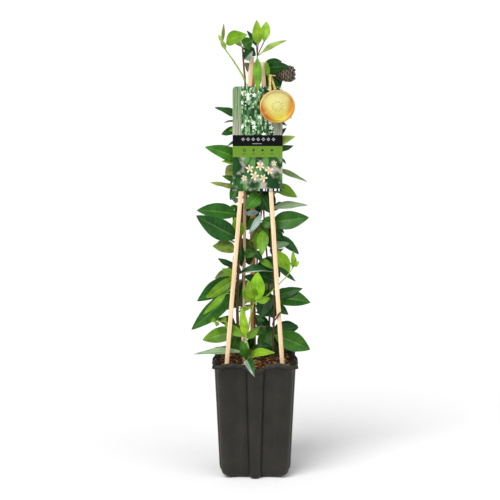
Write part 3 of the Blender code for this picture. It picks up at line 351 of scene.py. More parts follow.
pot_turns = [turn(0.0, FOOT_FLAT_HALF, RIB_FOOT_HALF)]
for up, drawn_in, sharper, stand, dip, lift in FOOT_TURNS:
    pot_turns.append(turn(up * MM, POT_FOOT_HALF - drawn_in * MM, RIB_FOOT_HALF, POT_CORNER - sharper * MM,
                          RIB_STAND * stand, dip, lift=FOOT_LIFT * lift))
pot_turns += [side_turn(height * MM) for height in WALL_HEIGHTS]
for down, half, stand, dip, wave, inset in LIP_TURNS:
    pot_turns.append(turn(RIM_HEIGHT - down * MM, half * MM, RIB_TOP_HALF, stand=stand * MM, dip=dip,
                          wave=wave, inset=inset * MM))
pot_turns += [side_turn(height * MM, POT_WALL) for height in reversed(WALL_HEIGHTS)]
pot_turns.append(turn(POT_FLOOR + 5.2 * MM, POT_FOOT_HALF - 6.5 * MM, RIB_FOOT_HALF, POT_CORNER - 2 * MM,
                      dip=0.3))
bm = blank()
laid(bm, pot_turns)
for face in bm.faces:
    face.smooth = len(face.verts) == 4

plastic = Finish("black_plastic", rough=0.42, Specular_IOR_Level=0.2)
place = plastic.place()
cloudy = plastic.mottle(place, 26.0, 3.0)
streaks = plastic.mottle(plastic.moved(place, stretch=(160, 160, 5)), 1.0)
dusty = plastic.mottle(place, 90.0, 4.0, 0.65)
dust = dusty.rise(0.5, 0.78) * (place.parts()[2].rise(0.165, 0.18) * 0.5 + 0.1)
tone = plastic.coated((0.017, 0.0155, 0.0125), (cloudy.rise(0.3, 0.7), (0.025, 0.022, 0.018)),
                      (streaks.rise(0.45, 0.8) * 0.25, (0.036, 0.032, 0.026)), (dust, (0.085, 0.075, 0.06)))
plastic.relief(plastic.mottle(place, 700.0) * 0.5 + streaks * 0.5, 0.12 * MM, 0.4)
plastic.shade(Base_Color=tone, Roughness=dusty * 0.25 + 0.3)

pot = shown("nursery_pot", bm, "pot", plastic)
for quarter in range(4):
    angle = math.pi / 4 + quarter * math.pi / 2
    corner = Matrix.Translation((DRAIN_OUT * math.cos(angle), DRAIN_OUT * math.sin(angle), 0))
    drill = bmesh.new()
    bmesh.ops.create_cone(drill, cap_ends=True, segments=24, radius1=DRAIN_RADIUS, radius2=DRAIN_RADIUS,
                          depth=DRILL_LENGTH, matrix=corner)
    drain = placed("drain", drill)
    cut = pot.modifiers.new("drain", "BOOLEAN")
    cut.object, cut.solver = drain, "EXACT"
    bpy.context.view_layer.update()
    drilled = bpy.data.meshes.new_from_object(pot.evaluated_get(bpy.context.evaluated_depsgraph_get()))
    pot.modifiers.clear()
    pot.data = drilled
    bpy.data.objects.remove(drain, do_unlink=True)


# Potting mix: dark peat and composted bark, tamped in almost to the rim, with paler chips and root
# fibres lying loose on it.
SOIL_TOP = 172.0 * MM
SOIL_SHOULDER = 166.0 * MM
GAP = 0.3 * MM
CHIPS = 420
FIBRES = 260
STREWN_HALF = 54.0
CLEAR_OF_WALL = 51.5
CLEAR_OF_CREASE = 48.5
MIX_TONES = ((0.026, 0.01, 0.005), (0.09, 0.034, 0.01), (0.19, 0.07, 0.016), (0.38, 0.15, 0.03),
             (0.6, 0.32, 0.09), (0.75, 0.56, 0.28))
X, Y, Z = Matrix.Identity(3)
luck = random.Random(5)


def crumbs(x, y):
    """How high the mix lies at a place."""
    coarse = noise.noise(Vector((x, y, 0.3)) / (11 * MM))
    fine = noise.noise(Vector((x, y, 7.7)) / (3.2 * MM))
    return SOIL_TOP + coarse * 2.0 * MM + fine * 1.1 * MM


inside = POT_WALL + GAP * 2.4
rim_turn = turn(SOIL_SHOULDER, pot_half(SOIL_SHOULDER), RIB_TOP_HALF, stand=RIB_STAND, dip=1.0, inset=inside)
soil_turns = [
    turn(POT_FLOOR + 5.6 * MM, POT_FOOT_HALF - 8.5 * MM, RIB_FOOT_HALF, POT_CORNER - 2 * MM, dip=0.5),
    turn(12 * MM, pot_half(12 * MM), rib_half_at(12 * MM), stand=RIB_STAND * 0.8, dip=1.0,
         lift=FOOT_LIFT * 0.5, inset=inside + GAP),
    rim_turn,
]
for share in (0.985, 0.96, 0.93, 0.89, 0.85, 0.8, 0.75, 0.7, 0.64, 0.58, 0.52, 0.46, 0.39, 0.32, 0.25,
              0.18, 0.11, 0.05):
    edge_sag = 2.5 * MM * (share > 0.98)
    soil_turns.append([Vector((p.x * share, p.y * share, crumbs(p.x * share, p.y * share) - edge_sag))
                       for p in rim_turn])
bm = blank()
laid(bm, soil_turns)
tinted(bm, bm.verts, MIX_TONES[0])
for face in bm.faces:
    face.smooth = True


def on_soil():
    """A random place on the mix, and its height."""
    while True:
        x, y = [luck.uniform(-STREWN_HALF, STREWN_HALF) * MM for axis in range(2)]
        beside = min(abs(abs(x) - RIB_TOP_HALF), abs(abs(y) - RIB_TOP_HALF))
        if max(abs(x), abs(y)) < (CLEAR_OF_WALL if beside > 6 * MM else CLEAR_OF_CREASE) * MM:
            return Vector((x, y, crumbs(x, y)))


for number in range(CHIPS):
    size = luck.uniform(0.8, 2.6) * MM * (1.7 if number % 9 == 0 else 1.0)
    heading = Matrix.Rotation(luck.uniform(0, math.tau), 4, "Z")
    spin = heading @ Matrix.Rotation(luck.uniform(-0.5, 0.5), 4, "X")
    spread = Matrix.Diagonal((size * luck.uniform(1.0, 2.4), size, size * luck.uniform(0.3, 0.7), 1.0))
    chip = bmesh.ops.create_cube(bm, size=1.0, matrix=Matrix.Translation(on_soil()) @ spin @ spread)["verts"]
    for vert in chip:
        vert.co += Vector([luck.uniform(-0.25, 0.25) * size for axis in range(3)])
    tinted(bm, chip, luck.choices(MIX_TONES, (4, 4, 5, 5, 3, 2))[0])
for number in range(FIBRES):
    middle = on_soil() + Z * 0.5 * MM
    heading = luck.uniform(0, math.tau)
    reach = Vector((math.cos(heading), math.sin(heading), luck.uniform(-0.1, 0.3))) * luck.uniform(2, 7) * MM
    sag = Vector((-reach.y, reach.x, 0)) * luck.uniform(-0.5, 0.5)
    thin = luck.uniform(0.2, 0.55) * MM
    rows = []
    for point in through([middle - reach, middle + sag, middle + reach], 2):
        rows.append([point + Vector((math.cos(a) * thin, 0, math.sin(a) * thin)) for a in (0.5, 2.6, 4.7)])
    tinted(bm, laid(bm, rows), luck.choices(MIX_TONES, (1, 2, 4, 6, 5, 3))[0])

mix_finish = Finish("potting_mix", rough=0.9, Specular_IOR_Level=0.25)
place = mix_finish.place()
grains = mix_finish.mottle(place, 420.0, 4.0, 0.7)
flecks = mix_finish.mottle(place, 1400.0, 1.0)
earth = mix_finish.mix(grains.rise(0.35, 0.65), (0.35, 0.35, 0.35), (1.5, 1.5, 1.5))
earth = mix_finish.times(mix_finish.painted("tint"), earth)
earth = mix_finish.mix(flecks.rise(0.62, 0.75) * 0.35, earth, (0.3, 0.13, 0.04))
mix_finish.relief(grains, 0.9 * MM, 0.8)
mix_finish.shade(Base_Color=earth, Roughness=flecks * 0.2 + 0.72)
shown("potting_mix", bm, "soil", mix_finish)


# Canes: three squared sticks of split pale wood that lean together in a tripod, and the slimmer
# stick that the young plant was first tied to. Each stands in the mix.
CANE_SIZE = (6.6, 5.2)
CANE_SUNK = 60.0
CANE_CUT = 0.7 * MM
CANE_STEPS = 48
WANDER = 0.14 * MM
# The front canes' pale wood, then the darker pinkish tint of their right faces, which is painted shade
FRONT_TINTS = ((0.97, 0.92, 0.84), (0.88, 0.72, 0.6))


def spot(across, up, depth):
    """A place given in millimetres as seen from the front, at a depth behind the pot's middle."""
    near = 1 + depth * MM / SIGHT_DISTANCE
    return Vector((across * MM * near, depth * MM, SIGHT_HEIGHT + (up * MM - SIGHT_HEIGHT) * near))


# Each cane's piece, where it leaves the mix and where it ends, its section and how deep it stands
# (mm), and the tint of its wood on its left side and the darker tint on its right side, which is painted
# shade
CANES = {
    "cane_front_left": ("stick_front_left", spot(-43.5, 172, -36), spot(-4.8, 641, -2), CANE_SIZE,
                        CANE_SUNK, FRONT_TINTS),
    "cane_front_right": ("stick_front_right", spot(41.5, 172, -36), spot(10.6, 633, -2), CANE_SIZE,
                         CANE_SUNK, FRONT_TINTS),
    "cane_back": ("stick_back", spot(-2.6, 172, 40), spot(-4.8, 632, 9), (8.4, 5.2),
                  CANE_SUNK, ((0.97, 0.6, 0.3), (0.9, 0.5, 0.22))),
    "starter_cane": ("first_stick", spot(-17.5, 172, 6), spot(-15.5, 452, 9), (4.4, 3.6),
                     20.0, ((0.92, 0.76, 0.6), (0.85, 0.66, 0.5))),
}

wood = Finish("split_wood", rough=0.6, Specular_IOR_Level=0.3)
place = wood.painted("place", "Vector")
grain = wood.mottle(wood.moved(place, stretch=(9, 9, 0.35)), 90.0, 4.0, 0.6)
pores = wood.mottle(wood.moved(place, stretch=(30, 30, 1.2)), 60.0)
knots = wood.mottle(wood.moved(place, stretch=(1, 1, 0.5)), 38.0, 1.0)
stops = ((0.25, (0.66, 0.47, 0.3)), (0.42, (0.82, 0.64, 0.44)), (0.6, (0.93, 0.79, 0.6)),
         (0.8, (0.97, 0.88, 0.74)))
tone = wood.node("ShaderNodeValToRGB", {"stops": stops}, [grain])
tone = wood.coated(tone, (knots.rise(0.58, 0.75) * 0.45, (0.85, 0.55, 0.36)),
                   (pores.rise(0.6, 0.72) * 0.3, (0.6, 0.38, 0.2)))
wood.relief(grain * 0.6 + pores * 0.4, 0.35 * MM, 0.7)
wood.shade(Base_Color=wood.times(tone, wood.painted("tint")), Roughness=grain * 0.25 + 0.5)

for node, (name, foot, head, size, sunk, (pale, painted_shade_right)) in CANES.items():
    luck = random.Random(node)
    lean = (head - foot).normalized()
    start = foot - lean * sunk * MM
    length = (head - start).length
    turned = Z.rotation_difference(lean).to_matrix()
    wide, deep = size[0] * MM / 2, size[1] * MM / 2
    right, back = wide - CANE_CUT, deep - CANE_CUT
    corners = ((-wide, -back), (-right, -deep), (right, -deep), (wide, -back),
               (wide, back), (right, deep), (-right, deep), (-wide, back))
    wander = [Vector()] * len(corners)
    rows = []
    for step in range(CANE_STEPS + 1):
        wander = [w * 0.7 + Vector((luck.uniform(-1, 1), luck.uniform(-1, 1), 0)) * WANDER for w in wander]
        rows.append([Vector((x, y, length * step / CANE_STEPS)) + w for (x, y), w in zip(corners, wander)])
    bm = blank()
    stick = laid(bm, rows)
    grain_place = bm.verts.layers.float_vector["place"]
    shift = Vector([luck.random() for axis in range(3)])
    for vert in stick:
        vert[grain_place] = vert.co + shift
        vert.co = start + turned @ vert.co
    tinted(bm, stick, pale)
    # The faces on the cane's right take the darker tint: painted shade
    tinted(bm, [vert for vert in stick if (turned.transposed() @ (vert.co - start)).x > 0], painted_shade_right)
    shown(name, bm, node, wood)


# Wire: the tie round the canes and the ring of the card are soft wire in a dark green coat. Their
# CAD shapes are right as they are.
coat = Finish("coated_wire", rough=0.38)
scuffed = coat.mottle(coat.place(), 900.0, 3.0)
coat.shade(Base_Color=coat.mix(scuffed.rise(0.45, 0.7), (0.03, 0.04, 0.02), (0.07, 0.08, 0.045)),
           Roughness=scuffed * 0.3 + 0.25)
coat.relief(scuffed, 0.1 * MM, 0.3)


def dressed(node, finish):
    """Gives a CAD node whose shape is right its finish."""
    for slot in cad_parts[node].material_slots:
        slot.material = finish.material


dressed("cane_tie", coat)
dressed("card_ring", coat)


# Label card: a sheet of printed plastic with rounded top corners, punched near its top edge. Its
# print is a design of this file's own: slats and blossoms above, leaves and round flowers below.
CARD_MIDDLE = Vector((3.6, -15.3, 519.0)) * MM
CARD_LEAN = math.radians(3.9)
UPPER_FOOT = 5.7
BLACK_FOOT = -10.8
GREEN_FOOT = -27.4
SIGNS = ((-20.0, 2.4), (-6.0, 2.2), (7.5, 2.4), (21.5, 2.2))
SIGNS_UP = -17.0
FLOWERS = ((-12.0, -45.0, 7.0), (3.5, -41.0, 7.5), (17.5, -47.5, 7.0), (-4.5, -55.5, 7.5), (9.0, -59.0, 6.5),
           (-20.5, -59.0, 5.0), (25.0, -36.5, 4.5))
LOZENGE = 2.7
LOZENGE_STEP = 7.6

card = Finish("printed_card", rough=0.28, Specular_IOR_Level=0.12)
turned = card.moved(card.moved(card.place(), shift=tuple(-CARD_MIDDLE)), turn=(CARD_LEAN, 0, 0))
across, deep, up = [value * 1000.0 for value in turned.parts()]
flat = card.node("ShaderNodeCombineXYZ", {}, [across, up, 0.0])


def cell(place, scale, scatter, output):
    """What a cell of a strewn pattern gives out."""
    return card.node("ShaderNodeTexVoronoi", {"voronoi_dimensions": "2D", "feature": "F1"},
                     {"Vector": place, "Scale": scale, "Randomness": scatter}, output)


def away(place, centre):
    """How far across, how far up and how far in all a place is from a centre."""
    apart = card.node("ShaderNodeVectorMath", {"operation": "SUBTRACT"}, [place, centre])
    east, north, _ = apart.parts()
    return east, north, (east * east + north * north) ** 0.5


def petalled(east, north, count, turned, depth):
    """How far out the edge of a flower lies, from its dips to its petals' tips at 1."""
    return (north.math("ARCTAN2", east) * count + turned).math("COSINE") * depth + (1 - depth)


def blossoms(scale, count, reach, keep, seed):
    """Round flowers strewn over the card: their petals and their eyes, as two masks."""
    shifted = card.moved(flat, shift=(seed, seed * 0.7, 0))
    chance = cell(shifted, scale, 0.8, "Color").parts()[0]
    east, north, far = away(shifted, cell(shifted, scale, 0.8, "Position"))
    edge = petalled(east, north, count, chance * 6.0, 0.28) * reach
    there = chance > 1 - keep
    return (1 - (far / edge).rise(0.82, 1.0)) * there, (1 - (far / (reach * 0.28)).rise(0.7, 1.0)) * there


def foliage(scale, dark, light, bright):
    """Overlapping leaf shapes as patches of green."""
    bent = card.moved(flat, turn=(0, 0, 0.6), stretch=(1.0, 0.55, 1.0))
    stops = ((0.0, dark), (0.45, light), (0.8, bright))
    green = card.node("ShaderNodeValToRGB", {"stops": stops}, [cell(bent, scale, 1.0, "Color").parts()[1]])
    return card.mix(cell(bent, scale, 1.0, "Distance").rise(0.35, 0.75) * 0.75, green, dark)


slats = card.mottle(card.moved(flat, stretch=(0.9, 0.03, 1.0)), 1.0, 4.0)
weathered = card.mix(slats.rise(0.4, 0.6), (0.22, 0.2, 0.16), (0.55, 0.5, 0.45))
boards = card.mix(slats.rise(0.35, 0.65), (0.06, 0.14, 0.04), (0.3, 0.4, 0.23))
boards = card.coated(boards, ((1 - up.rise(14, 46)) * 0.6, weathered),
                     ((across % 7.5).rise(6.6, 7.4) * 0.7, (0.04, 0.08, 0.03)))
petals, eyes = blossoms(0.12, 5.0, 3.9, 0.4, 3.0)
small_petals, _ = blossoms(0.26, 4.0, 1.8, 0.16, 17.0)
fence = (across < -24.5) + (across > 24.0) * (up < 40)
upper = card.coated(foliage(0.34, (0.006, 0.032, 0.011), (0.045, 0.14, 0.045), (0.28, 0.46, 0.22)),
                    (petals, (0.86, 0.93, 0.84)), (eyes * 0.8, (0.5, 0.6, 0.2)),
                    (small_petals * 0.8, (0.75, 0.88, 0.75)), (fence, boards))

blur = card.mottle(flat, 0.055)
lower = foliage(0.1, (0.006, 0.035, 0.009), (0.02, 0.1, 0.02), (0.1, 0.24, 0.06))
lower = card.mix(blur.rise(0.48, 0.64) * 0.85, lower, (0.44, 0.4, 0.35))
for x, y, reach in FLOWERS:
    east, north, far = away(flat, (x, y, 0))
    edge = petalled(east, north, 5.0, blur * 9.0 + x, 0.34) * reach
    bloom = card.mix((far / reach).rise(0.0, 0.8), (0.6, 0.4, 0.14), (0.78, 0.74, 0.58))
    lower = card.mix(1 - (far / edge).rise(0.86, 1.0), lower, bloom)
bars = card.mottle(card.moved(flat, stretch=(0.24, 0.0, 0.0)), 1.0, 1.0)
bars = card.mix(bars.rise(0.47, 0.49), (0.75, 0.74, 0.76), (0.02, 0.02, 0.025))
lower = card.mix((up < -74.8) * across.between(2.0, 35.0), lower, bars)

green = card.mix(card.mottle(flat, 0.1, 1.0) * 0.5, (0.115, 0.23, 0.021), (0.155, 0.27, 0.034))
for number, (x, reach) in enumerate(SIGNS):
    east, north, far = away(flat, (x, SIGNS_UP, 0))
    disc = far < reach * 0.8
    shapes = (far.between(reach * 0.55, reach), disc + (abs(east) < 0.5) * north.between(0.0, reach * 1.5),
              (abs(east) + abs(north)) < reach, (abs(east) < reach * 0.75) * (abs(north) < reach * 0.75))
    bar = (abs(east) < 2.6) * (north + 5.6).between(-0.5, 0.5)
    green = card.mix(shapes[number] + bar * 0.8, green, (0.02, 0.05, 0.015))

sideways = abs((across + 2.8) % LOZENGE_STEP - LOZENGE_STEP / 2)
lozenge = (sideways / LOZENGE + abs(up + 0.6) / LOZENGE).between(0.45, 1.0) * across.between(-25.6, 27.6)
rule = (across + 1.0).between(-7.0, 7.0) * (up + 7.2).between(-0.35, 0.35)
bare = card.coated((0.002, 0.002, 0.003), (card.mottle(flat, 0.4) * 0.2, (0.008, 0.009, 0.009)),
                   (lozenge + rule, (0.34, 0.39, 0.35)))
rear = card.coated((0.8, 0.82, 0.76), (up > 58.0, (0.2, 0.4, 0.05)),
                   (up.between(-66.0, -64.5) + up.between(30.0, 31.0), (0.2, 0.3, 0.12)))
printed = card.coated(upper, (up < UPPER_FOOT, bare), (up < BLACK_FOOT, green), (up < GREEN_FOOT, lower),
                      (deep > -0.25, (0.82, 0.84, 0.8)), (deep > 0.25, rear))
card.shade(Base_Color=printed, Roughness=card.mottle(flat, 0.2) * 0.12 + 0.24)
card.relief(card.mottle(flat, 1.5), 0.05 * MM, 0.15)
dressed("label_card", card)


# Gold disc: a pressed tag with a rolled rim and a faint ring of leaves on its face, hung by a strap
# of the same gold foil.
DISC_RADIUS = 26.5 * MM
DISC_TALL = 0.97
DISC_MIDDLE = Vector((33.0, -23.6, 568.8)) * MM
DISC_LEAN = math.radians(22.0)
DISC_STEPS = 96
FACE_HEIGHT = 0.84 * MM
RING_LEAVES = 10

# The disc's section, from the middle of its face over the rolled rim to the middle of its back (mm)
DISC_SECTION = ((0, 0.95), (8, 0.88), (14, 0.74), (20.9, 0.58), (22.7, 0.65), (23.4, 1.15), (24.2, 1.5),
                (25.4, 1.5), (26.1, 1.25), (26.5, 0.7), (26.5, -1), (26, -1.5), (0, -1.5))

bm = blank()
points = [bm.verts.new((x * MM, 0, z * MM)) for x, z in DISC_SECTION]
edges = [bm.edges.new(pair) for pair in zip(points, points[1:])]
bmesh.ops.spin(bm, geom=points + edges, cent=(0, 0, 0), axis=(0, 0, 1), steps=DISC_STEPS, angle=math.tau,
               use_merge=True)
bmesh.ops.remove_doubles(bm, verts=bm.verts, dist=ONE_POINT)
for number in range(RING_LEAVES):
    angle = number * math.tau / RING_LEAVES
    ray = Vector((math.cos(angle), math.sin(angle), 0))
    rows = []
    for t in (0.02, 0.25, 0.5, 0.75, 0.98):
        off = Vector((-ray.y, ray.x, 0)) * math.sin(math.pi * t) * 1.3 * MM
        out = ray * (4.5 + 5.0 * t) * MM + Z * FACE_HEIGHT
        rows.append([out - off, out + Z * 0.34 * MM, out + off, out - Z * 0.3 * MM])
    laid(bm, rows)
for face in bm.faces:
    face.smooth = True
stand = Matrix.Translation(DISC_MIDDLE) @ Matrix.Rotation(math.pi / 2 - DISC_LEAN, 4, "X")
bmesh.ops.transform(bm, matrix=stand @ Matrix.Diagonal((1, DISC_TALL, 1, 1)), verts=bm.verts)

gold = Finish("gold_foil", rough=0.3, metal=0.3, Specular_IOR_Level=0.25)
x, y, z = gold.moved(gold.place(), shift=tuple(-DISC_MIDDLE)).parts()
tall = z / DISC_TALL / math.cos(DISC_LEAN)
high = z / DISC_RADIUS
far = ((x * x + tall * tall) ** 0.5) / DISC_RADIUS
within = 1 - far.rise(0.93, 0.97)
# Painted reflections: deep orange crescents low on the left and on the right, inside the rim
reflection_low_left = ((x * -0.75 + z * -0.55) / DISC_RADIUS).rise(0.34, 0.8)
right = ((x * 0.95 + z * -0.1) / DISC_RADIUS).rise(0.4, 0.8)
worn = gold.mottle(gold.place(), 130.0, 3.0)
# Painted light: the face is paler at the top than at the bottom, and its pale middle turning deeper gold
# towards the edge is a painted reflection; the pale flecks are wear, then a thin peach-orange band at the rim
outer_painted_light = gold.mix(high.rise(-0.95, 0.8), (0.45, 0.37, 0.02), (0.47, 0.42, 0.15))
middle = gold.mix(high.rise(-0.5, 0.6), (0.5, 0.44, 0.1), (0.52, 0.5, 0.22))
foil = gold.coated(middle, (far.rise(0.1, 0.85), outer_painted_light), (reflection_low_left * within, (0.37, 0.09, 0.002)),
                   (right * within, (0.4, 0.14, 0.001)), (worn.rise(0.5, 0.8) * 0.2, (0.7, 0.6, 0.25)),
                   (far.rise(0.94, 0.96), (0.58, 0.3, 0.09)))
gold.shade(Base_Color=foil, Roughness=worn * 0.2 + 0.22)
gold.relief(gold.mottle(gold.place(), 420.0, 3.0), 0.12 * MM, 0.35)
shown("gold_tag", bm, "gold_disc", gold)
strap_foil = Finish("strap_foil", rough=0.3, metal=0.5)
worn = strap_foil.mottle(strap_foil.place(), 260.0, 3.0)
strap_foil.shade(Base_Color=strap_foil.mix(worn.rise(0.35, 0.7), (0.95, 0.8, 0.3), (0.55, 0.36, 0.06)),
                 Roughness=worn * 0.25 + 0.2)
strap_foil.relief(worn, 0.2 * MM, 0.4)
dressed("disc_strap", strap_foil)


# Cone: a small dark woody cone on a pale stalk, whose scales overlap in spirals from the stalk's
# end to the blunt tip.
CONE_FOOT = Vector((30.0, -15.0, 614.0)) * MM
CONE_TIP = Vector((57.0, -19.0, 618.0)) * MM
STALK_FOOT = Vector((20.5, -11.0, 613.2)) * MM
CONE_LENGTH = 30.0 * MM
CONE_RADIUS = 15.2 * MM
CONE_SCALES = 84
CORE_TURNS = 16
CONE_TONES = ((0.085, 0.055, 0.032), (0.17, 0.125, 0.08)), ((0.022, 0.016, 0.01), (0.26, 0.22, 0.15))
CORE_TONE = (0.016, 0.01, 0.007)
STALK_TONE = (0.55, 0.42, 0.24)
GOLDEN_ANGLE = math.radians(137.508)


def club(along):
    """The cone's radius, from its stalk to its tip."""
    rounded = math.sqrt(max(0.0, 1 - (2 * along - 1) ** 2)) ** 0.7
    return rounded * (0.35 + 0.65 * along ** 0.8) * CONE_RADIUS


def ringed(middle, across, over, radius, sides):
    """Points in a circle round a middle."""
    angles = [math.tau * number / sides for number in range(sides)]
    return [middle + (across * math.cos(a) + over * math.sin(a)) * radius for a in angles]


bm = blank()
rows = []
for step in range(CORE_TURNS + 1):
    along = step / CORE_TURNS
    rows.append(ringed(Z * CONE_LENGTH * along, X, Y, club(along) * 0.93, 24))
tinted(bm, laid(bm, rows), CORE_TONE)
luck = random.Random("cone")
for number in range(CONE_SCALES):
    along = 0.04 + 0.93 * (number + 0.5) / CONE_SCALES
    size = (0.45 + 0.55 * math.sin(math.pi * along ** 1.4)) * 3.4 * MM * luck.uniform(0.85, 1.15)
    radius = club(along)
    climb = Vector((radius - club(max(along - 0.06, 0.0)), 0, 0.06 * CONE_LENGTH)).normalized()
    out = Vector((climb.z, 0, -climb.x))
    old, worn_edge = CONE_TONES[along >= 0.4]
    wear = luck.uniform(0.55, 1.15)
    root = Vector((radius * 0.92, 0, along * CONE_LENGTH))
    rows = []
    for t, breadth, lift in ((0.0, 0.8, -0.3), (0.45, 1.1, 0.3), (0.8, 0.9, 0.9), (1.0, 0.4, 1.15)):
        point = root + climb * size * 1.5 * (t - 0.4) + out * lift * MM
        side = Y * breadth * size
        rows.append([point - side, point - side * 0.8 + out * 0.2 * MM, point + side * 0.8 + out * 0.2 * MM,
                     point + side, point - out * 0.5 * MM])
    scale = laid(bm, rows)
    tinted(bm, scale, old)
    rubbed = [vert for vert in scale
              if abs(vert.co.y) > 0.84 * size or (vert.co - rows[3][4]).length < 1.2 * MM]
    tinted(bm, rubbed, [channel * wear for channel in worn_edge])
    bmesh.ops.rotate(bm, verts=scale, matrix=Matrix.Rotation(number * GOLDEN_ANGLE, 3, "Z"))
axis = (CONE_TIP - CONE_FOOT).normalized()
aim = Matrix.Translation(CONE_FOOT) @ Z.rotation_difference(axis).to_matrix().to_4x4()
bmesh.ops.transform(bm, matrix=aim, verts=bm.verts)
bend = (STALK_FOOT + CONE_FOOT) / 2 + Z * 0.3 * MM
stalk_line = through([STALK_FOOT, bend, CONE_FOOT, CONE_FOOT + axis * 3 * MM], 3)
tinted(bm, laid(bm, [ringed(point, Y, Z, 0.9 * MM, 8) for point in stalk_line]), STALK_TONE)

scales = Finish("cone_scales", rough=0.65, Specular_IOR_Level=0.3)
fibrous = scales.mottle(scales.place(), 1100.0, 3.0)
woody = scales.mix(fibrous.rise(0.35, 0.7), (0.55, 0.55, 0.55), (1.45, 1.4, 1.3))
scales.shade(Base_Color=scales.times(scales.painted("tint"), woody), Roughness=fibrous * 0.3 + 0.45)
scales.relief(fibrous, 0.3 * MM, 0.5)
shown("woody_cone", bm, "cone_ornament", scales)


# Vines: star jasmine grown up the canes. The stems turn from brown bark to green towards their
# tips; the leaves stand on short stalks, glossy and dark when old and yellow-green when young, with
# a pale midrib and a paler, duller underside.
BLADE_THICK = 0.7 * MM
SKIN_THICK = 0.55 * MM
SHORT_BLADE = 40.0 * MM
STALK_FOOT = -0.1
BLADE_STATIONS = (STALK_FOOT, 0.0, 0.15, 0.39, 0.65, 0.87, 1.0)
SHORT_STATIONS = (STALK_FOOT, 0.0, 0.2, 0.56, 0.86, 1.0)
FINE_STATIONS = (STALK_FOOT, 0.0, 0.04, 0.09, 0.15, 0.22, 0.3, 0.38, 0.46, 0.54, 0.62, 0.7, 0.78, 0.85, 0.91,
                 0.96, 1.0)
FINE_ACROSS = (-1.0, -0.72, -0.4, -0.12, 0.0, 0.12, 0.4, 0.72, 1.0)
STALK_HALF = 0.8 * MM
SHORTEST_STALK = 2.5 * MM
EDGE_WAVE = 0.9 * MM
FOLD = 0.16
GROOVE = 0.3 * MM
RIB_BREADTH = 0.12
CLEARANCE = 0.5 * MM
STEM_STEP = 22.0 * MM
FINE_STEM_STEP = 5.0 * MM
STEM_TAPER = 0.45
STEM_SIDES = 8

# Node name, then each stem's route as across, up and depth in millimetres, and its thickness
STEMS = {
    "vine_left": [((-24, 158, -8), (-25, 200, -10), (-27, 240, -14), (-27, 280, -16), (-25, 330, -14),
                   (-22, 365, -9), (-21, 400, -5), (-23, 440, -1), (-23, 480, 3), (-22, 520, 4),
                   (-19, 560, 3), (-15, 597, 0), (-17, 625, -2), (-19, 655, -4), 2.4)],
    "vine_right": [((28, 158, 9), (28, 200, 6), (29, 250, 2), (29, 290, -2), (27, 330, -6), (24, 370, -5),
                    (23, 410, -3), (24, 450, 1), (26, 490, 3), (25, 530, 4), (23, 565, 3), (20.5, 600, -5),
                    (19.6, 613, -10), (17, 622, -4), (15.5, 625, 6), (10, 628, 9), 1.7)],
    "vine_middle": [((2, 158, 10), (0, 200, 12), (-1, 250, 10), (1, 300, 4), (3, 335, -2), (-1, 348, -5),
                     (-8, 359, -7), (-2, 371, -9), (4, 381, -10), (9, 400, -8), (9, 421, -4), (6, 460, 2),
                     (3, 510, 4), (2, 560, 3), (3, 600, 1), (3, 625, 0), (3, 642, -3), 1.5)],
    "vine_back_left": [((-20, 158, 24), (-22, 220, 27), (-19, 300, 27), (-15, 380, 27), (-11, 460, 26),
                        (-10, 540, 22), (-12, 600, 18), 1.6)],
    "vine_back_right": [((18, 158, 27), (22, 230, 30), (20, 310, 29), (14, 390, 27), (11, 470, 26),
                         (12, 545, 22), 1.6)],
    "front_shoot": [((-10, 158, -28), (-10.5, 184, -29), (-11, 196, -29), (-14.5, 211, -29),
                     (-10, 225, -29), (-8, 240, -29), (-5, 252, -28), (-2.5, 264, -27), 1.8),
                    ((-2.5, 264, -27), (15, 273, -21), (27, 284, -15), (38, 295, -14), (50, 308, -18),
                     (58, 320, -20), 1.1),
                    ((-14.5, 211, -29), (-28, 220, -20), (-43, 233, -18), (-60, 237, -20), 1.0)],
    "top_left_shoot": [((-15.4, 603, -3.2), (-17, 609, -7), (-30, 631, -12), (-47, 655, -18),
                        (-48.5, 662, -18), 1.5)],
}

